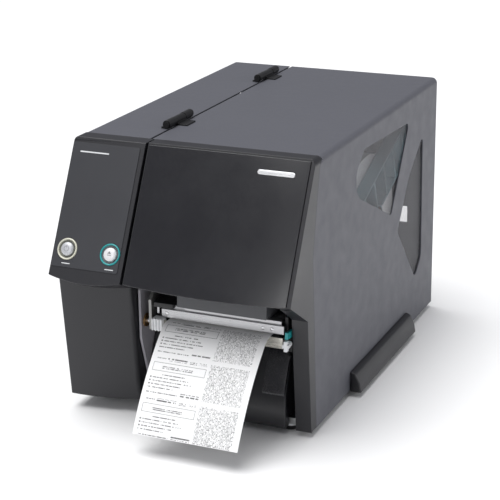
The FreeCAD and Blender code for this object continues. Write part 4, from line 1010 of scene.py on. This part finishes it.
@dataclass
class LabelStrip:
    """The label web from the roll to the tip of the printed strip."""

    left: float = 106.0
    width: float = 106.5
    gauge: float = 0.24
    roll: tuple[float, float] = (219.0, 118.0)
    roll_radius: float = 92.5
    damper: tuple[float, float] = (76.0, 113.15)
    damper_radius: float = 8.5
    outlet: tuple[float, float] = (-42.0, 104.65)
    bends: tuple[tuple[float, float, float], ...] = ((0.0, 40.0, 22.0), (40.0, 61.5, 272.0))

    def fall(self, run: float) -> tuple[float, float]:
        """Where the strip is at a distance past its outlet, in mm."""
        back, height = self.outlet
        for start, end, radius in self.bends:
            reach = min(run, radius * math.radians(end - start))
            a, b = math.radians(start), math.radians(start) + reach / radius
            back -= radius * (math.sin(b) - math.sin(a))
            height -= radius * (math.cos(a) - math.cos(b))
            run -= reach
        return back, height

    def stations(self) -> list[tuple[float, float, float]]:
        """Steps along the web: place past the outlet, back and height, in mm."""
        gap = Vector(self.damper) - Vector(self.roll)
        lean = math.acos((self.roll_radius + self.damper_radius) / gap.length)
        ray = math.atan2(gap.y, gap.x) - lean
        toward = Vector((math.cos(ray), math.sin(ray)))
        leave = Vector(self.roll) + toward * self.roll_radius
        meet = Vector(self.damper) - toward * self.damper_radius
        turn = [math.atan2(-toward.y, -toward.x) + step * (
            -math.pi / 2 - math.atan2(-toward.y, -toward.x)) / 8 for step in range(9)]
        around = [Vector(self.damper) + Vector((math.cos(t), math.sin(t))) * self.damper_radius
                  for t in turn]
        inside = [leave, meet, *around[1:], Vector(self.outlet)]
        runs = [0.0]
        for first, second in zip(inside, inside[1:]):
            runs.append(runs[-1] + (second - first).length)
        steps = [(run - runs[-1], spot.x, spot.y) for run, spot in zip(runs, inside)]
        total = sum(radius * math.radians(end - start) for start, end, radius in self.bends)
        for index in range(1, 49):
            run = total * index / 48
            steps.append((run, *self.fall(run)))
        return steps

    def build(self) -> None:
        """Lay a grid along the steps, map it in metres and give it its thickness."""
        steps = self.stations()
        Bench.clear()
        bpy.ops.mesh.primitive_grid_add(x_subdivisions=8, y_subdivisions=len(steps) - 1, size=1.0)
        piece = Bench.settle(bpy.context.object, "label_strip")
        mesh = piece.data
        runs = {}
        for vertex in mesh.vertices:
            index = round((vertex.co.y + 0.5) * (len(steps) - 1))
            run, back, height = steps[index]
            across = self.width * (vertex.co.x + 0.5)
            runs[vertex.index] = (across * MM, run * MM)
            vertex.co = machine(self.left + across, back, height)
        chart = mesh.uv_layers[0]
        for corner in mesh.loops:
            chart.data[corner.index].uv = runs[corner.vertex_index]
        Bench.outward(piece)
        Bench.modify(piece, "SOLIDIFY", thickness=self.gauge * MM, offset=0.0)
        fit(Bench.smooth(piece, 40.0), "chassis", "label_paper", PRINT, "label_web")


@dataclass
class HeadFittings:
    """Small parts on the swinging print head: end cap, springs and screws."""

    spring_places: tuple[tuple[float, float], ...] = ((128.0, 16.0), (164.0, 16.0), (200.0, 16.0))

    def build(self) -> None:
        """Make the end cap, the screws and the springs."""
        cap = Bench.slab("head_end_cap", machine(91.4, -42.0, 116.4), machine(112.0, -14.0, 121.6),
                         0.0008)
        fit(cap, "print_head", "black_plastic", BLACK)
        for index, (x, z) in enumerate(((204.0, 110.9), (213.0, 110.9), (104.5, 110.9))):
            rivet = Bench.turned(f"bar_rivet_{index}", [
                (0.0018, 0.0), (0.0018, 0.0002), (0.0015, 0.00045), (0.0008, 0.0006), (0.0, 0.0006)
            ], 32)
            turn = Matrix.Translation(machine(x, -40.0, z)) @ Matrix.Rotation(
                math.radians(90), 4, "X")
            fit(Bench.posed(rivet, turn), "print_head", "bright_steel", BRIGHT)
        for index, (x, y) in enumerate(self.spring_places):
            self.spring(f"head_spring_{index}", x, y)

    def spring(self, name: str, x: float, y: float) -> None:
        """A coil spring standing on the head's cover, wound by the screw modifier."""
        Bench.clear()
        bpy.ops.mesh.primitive_circle_add(vertices=10, radius=0.0005, location=(0.0038, 0, 0),
                                          rotation=(math.pi / 2, 0, 0))
        piece = Bench.settle(bpy.context.object, name)
        Bench.modify(piece, "SCREW", angle=2 * math.pi * 6, screw_offset=0.0105, steps=24 * 6,
                     render_steps=24 * 6, axis="Z")
        Bench.outward(piece)
        Bench.smooth(piece, 60.0)
        place = Matrix.Translation(machine(x, y, 141.4))
        fit(Bench.posed(piece, place), "print_head", "bright_steel", BRIGHT)


@dataclass
class Screw:
    """A pan-head screw with a cross recess, along +Z from its seat."""

    radius: float = 3.2
    rise: float = 1.7

    def make(self, name: str) -> Mesh:
        """The head, domed and hollowed for its driver."""
        r, h = self.radius * MM, self.rise * MM
        head = Bench.turned(name, [(r * 0.96, -0.0004), (r, 0.0001), (r, h * 0.45),
                                   (r * 0.86, h * 0.8), (r * 0.6, h * 0.97), (r * 0.3, h * 1.02),
                                   (0.0, h * 1.03)], 40)
        arms = [Bench.slab(f"{name}_slot_{turn}",
                           Vector((-r * 0.55, -r * 0.1, h * 0.45)),
                           Vector((r * 0.55, r * 0.1, h * 1.4))) for turn in range(2)]
        arms[1] = Bench.posed(arms[1], Matrix.Rotation(math.pi / 2, 4, "Z"))
        for arm in arms:
            Bench.modify(head, "BOOLEAN", object=arm, operation="DIFFERENCE", solver="EXACT")
            bpy.data.objects.remove(arm)
        return Bench.smooth(head, 30.0)


@dataclass
class RearFittings:
    """What the back carries: screws, contacts, switch marks and the blank rating plate."""

    face: float = 347.0

    def build(self) -> None:
        """Fit the back."""
        self.fasteners()
        self.contacts()
        self.plate()
        self.switch()

    def fasteners(self) -> None:
        """Pan-head screws, modelled once and copied to each place of the plain ones."""
        spots = self.places("case_screws")
        first = Screw().make("rear_screw_0")
        for index, (x, y, z) in enumerate(spots):
            turn = Matrix.Translation(Vector((x, y, z))) @ Matrix.Rotation(
                math.radians(-90), 4, "X")
            twin = Bench.copied(first, f"rear_screw_{index + 1}", turn)
            stands_for = ["case_screws"] if index == 0 else []
            fit(twin, "chassis", "black_steel", BLACK_METAL, *stands_for)
        bpy.data.objects.remove(first)

    def places(self, node: str) -> list[Triple]:
        """Seat centres of a node's separate solids, by their loose parts."""
        source = frame["nodes"][node]
        points = [v.co for v in source.data.vertices]
        centres: list[list[Vector]] = []
        for point in points:
            for group in centres:
                if (group[0] - point).length < 0.014:
                    group.append(point)
                    break
            else:
                centres.append([point])
        seats = []
        for group in centres:
            xs, ys, zs = ([p[axis] for p in group] for axis in range(3))
            seats.append(((min(xs) + max(xs)) / 2, (self.face - ORIGIN.y) * MM,
                          (min(zs) + max(zs)) / 2))
        return seats

    def contacts(self) -> None:
        """Pins and tongues inside the sockets."""
        low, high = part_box("power_inlet")
        middle = (low + high) / 2
        for index, (dx, dz) in enumerate(((-0.0067, -0.002), (0.0067, -0.002), (0.0, 0.003))):
            spot = Vector((middle.x + dx, high.y - 0.012, middle.z + dz))
            pin = Bench.slab(f"inlet_pin_{index}", spot - Vector((0.001, 0.004, 0.002)),
                             spot + Vector((0.001, 0.009, 0.002)), 0.0003)
            fit(pin, "chassis", "bright_steel", BRIGHT)
        for row, (count, offset) in enumerate(((5, 0.0), (4, 0.00138))):
            for index in range(count):
                spot = machine(46.6 + 2.84 * row, self.face - 4.0, 131.5 + 2.77 * index)
                spot.z += offset
                pin = Bench.turned(f"serial_pin_{row}_{index}", [
                    (0.0005, 0.0), (0.0005, 0.004), (0.0003, 0.0046), (0.0, 0.0047)], 12)
                turn = Matrix.Translation(spot) @ Matrix.Rotation(math.radians(-90), 4, "X")
                fit(Bench.posed(pin, turn), "chassis", "bright_steel", GOLD)

    def plate(self) -> None:
        """A blank foil plate with a raised border."""
        Bench.clear()
        base = Bench.slab("rating_plate", machine(96, self.face - 0.02, 40),
                          machine(150, self.face + 0.25, 74), 0.0001)
        fit(base, "chassis", "bright_steel", PLATE_LABEL)
        bars = [((97.2, 41.2), (148.8, 41.7)), ((97.2, 72.3), (148.8, 72.8)),
                ((97.2, 41.2), (97.7, 72.8)), ((148.3, 41.2), (148.8, 72.8)),
                ((97.2, 62.0), (148.8, 62.4)), ((120.0, 41.2), (120.4, 62.0))]
        lines = [Bench.slab(f"plate_line_{i}", machine(a[0], self.face + 0.2, a[1]),
                            machine(b[0], self.face + 0.32, b[1])) for i, (a, b) in enumerate(bars)]
        fit(Bench.joined("plate_lines", lines), "chassis", "black_plastic", BLACK)

    def switch(self) -> None:
        """The two marks of an on and off switch."""
        low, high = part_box("power_rocker")
        middle = (low + high) / 2
        ring = Bench.turned("switch_ring", [(0.0014, 0.0), (0.0019, 0.0), (0.0019, 0.0003),
                                            (0.0014, 0.0003)], 40, close=True)
        bar = Bench.slab("switch_bar", Vector((-0.0003, -0.0018, 0.0)),
                         Vector((0.0003, 0.0018, 0.0003)), 0.00006)
        for piece, rise in ((ring, -0.0052), (bar, 0.0052)):
            start = Vector((middle.x, high.y + 0.03, middle.z + rise))
            spot, facing = touch("power_rocker", start, Vector((0, -1, 0)))
            turn = Vector((0, 0, 1)).rotation_difference(facing).to_matrix().to_4x4()
            place = Matrix.Translation(spot - facing * 0.00012) @ turn
            fit(Bench.posed(piece, place), "rocker", "white_plastic", WHITE)


@dataclass
class PaneFixings:
    """Snap rivets that hold the window sheets, seen inside the door."""

    places: tuple[tuple[float, float], ...] = (
        (259.0, 247.5), (108.0, 252.5), (88.0, 206.0), (196.5, 149.5), (306.0, 222.0),
        (249.5, 184.0), (213.5, 127.5), (283.0, 50.5), (312.5, 80.0))

    def build(self) -> None:
        """One rivet head modelled, the rest copied."""
        head = Bench.turned("pane_rivet_0", [(0.0026, 0.0), (0.0026, 0.0003), (0.0022, 0.0009),
                                             (0.0012, 0.0013), (0.0, 0.0014)], 28)
        for index, (y, z) in enumerate(self.places):
            turn = Matrix.Translation(machine(244.5, y, z)) @ Matrix.Rotation(
                math.radians(-90), 4, "Y")
            twin = Bench.copied(head, f"pane_rivet_{index + 1}", turn)
            fit(twin, "media_door", "black_plastic", BLACK)
        bpy.data.objects.remove(head)


@dataclass
class Studio:
    """The floor, the lights and the camera."""

    eye: Triple = (0.59502, -1.3553, 0.63461)
    azimuth: float = 23.93
    elevation: float = 18.86
    roll: float = -0.756
    lens: float = 109.31

    def build(self) -> None:
        """Set the stage."""
        self.floor()
        self.lights()
        self.camera()

    def floor(self) -> None:
        """A wide pale floor."""
        Bench.clear()
        bpy.ops.mesh.primitive_plane_add(size=12.0, location=(0, 0, 0))
        plane = Bench.settle(bpy.context.object, "floor")
        plane.data.materials.append(Finish("floor_paper", (0.88, 0.88, 0.88), 0.8, specular=0.2,
                                           mottle=0.005, grain=60.0, grain_strength=0.02).make())

    def light(self, name: str, place: Triple, aim: Triple, size: tuple[float, float],
              power: float) -> None:
        """A soft box at a place, aimed at a point."""
        lamp = bpy.data.lights.new(name, "AREA")
        lamp.shape = "RECTANGLE"
        lamp.size, lamp.size_y = size
        lamp.energy = power
        holder = bpy.data.objects.new(name, lamp)
        bpy.context.scene.collection.objects.link(holder)
        holder.location = place
        towards = Vector(aim) - Vector(place)
        holder.rotation_euler = towards.to_track_quat("-Z", "Y").to_euler()

    def lights(self) -> None:
        """A top box, a key from the front left, a low fill and a pale surround."""
        world = bpy.data.worlds.new("surround")
        bpy.context.scene.world = world
        world.use_nodes = True
        world.node_tree.nodes["Background"].inputs["Color"].default_value = (0.92, 0.93, 1.0, 1)
        world.node_tree.nodes["Background"].inputs["Strength"].default_value = 0.3
        self.overhead()
        self.light("side_box", (1.8, 0.35, 0.75), (0.1, 0.05, 0.12), (1.3, 1.1), 9.0)
        self.light("panel_card", (-0.2, -1.95, 1.0), (0.09, -0.17, 0.18), (0.5, 0.5), 3.0)
        self.light("low_card", (-0.75, -1.95, 0.72), (0.0, -0.17, 0.18), (1.8, 0.4), 2.2)
        self.light("high_card", (-0.6, -1.15, 1.5), (0.08, -0.14, 0.06), (0.9, 0.5), 3.0)

    def overhead(self) -> None:
        """One wide even light from above."""
        lamp = bpy.data.lights.new("overhead", "SUN")
        lamp.energy = 3.1
        lamp.angle = math.radians(50)
        holder = bpy.data.objects.new("overhead", lamp)
        bpy.context.scene.collection.objects.link(holder)
        holder.rotation_euler = Vector((0.22, 0.1, -1.0)).to_track_quat("-Z", "Y").to_euler()

    def camera(self) -> None:
        """The camera, level but for a slight roll."""
        a, e, r = (math.radians(v) for v in (self.azimuth, self.elevation, self.roll))
        back = Vector((math.sin(a) * math.cos(e), -math.cos(a) * math.cos(e), math.sin(e)))
        right = Vector((math.cos(a), math.sin(a), 0.0))
        up = back.cross(right)
        across = right * math.cos(r) + up * math.sin(r)
        above = up * math.cos(r) - right * math.sin(r)
        turn = Matrix((across, above, back)).transposed().to_4x4()
        lens = bpy.data.cameras.new("camera")
        lens.lens = self.lens
        lens.sensor_width = 36.0
        holder = bpy.data.objects.new("camera", lens)
        bpy.context.scene.collection.objects.link(holder)
        holder.matrix_world = Matrix.Translation(Vector(self.eye)) @ turn
        bpy.context.scene.camera = holder
        bpy.context.scene.view_settings.view_transform = "Standard"


def main() -> None:
    """Build every sub-assembly in order."""
    Studio().build()
    Frame().build()
    # The pause button's well finish is the cream colour with painted shade.
    ControlButton("pause", 15.6, CREAM, CREAM_IN_SHADE, SILVER_CAP, "cream_plastic").build()
    ControlButton("feed", 61.4, TEAL, WELL, PEARL_CAP, "teal_plastic").build()
    FrontMarks().build()
    LabelStrip().build()
    HeadFittings().build()
    RearFittings().build()
    PaneFixings().build()


if __name__ == "__main__":
    main()
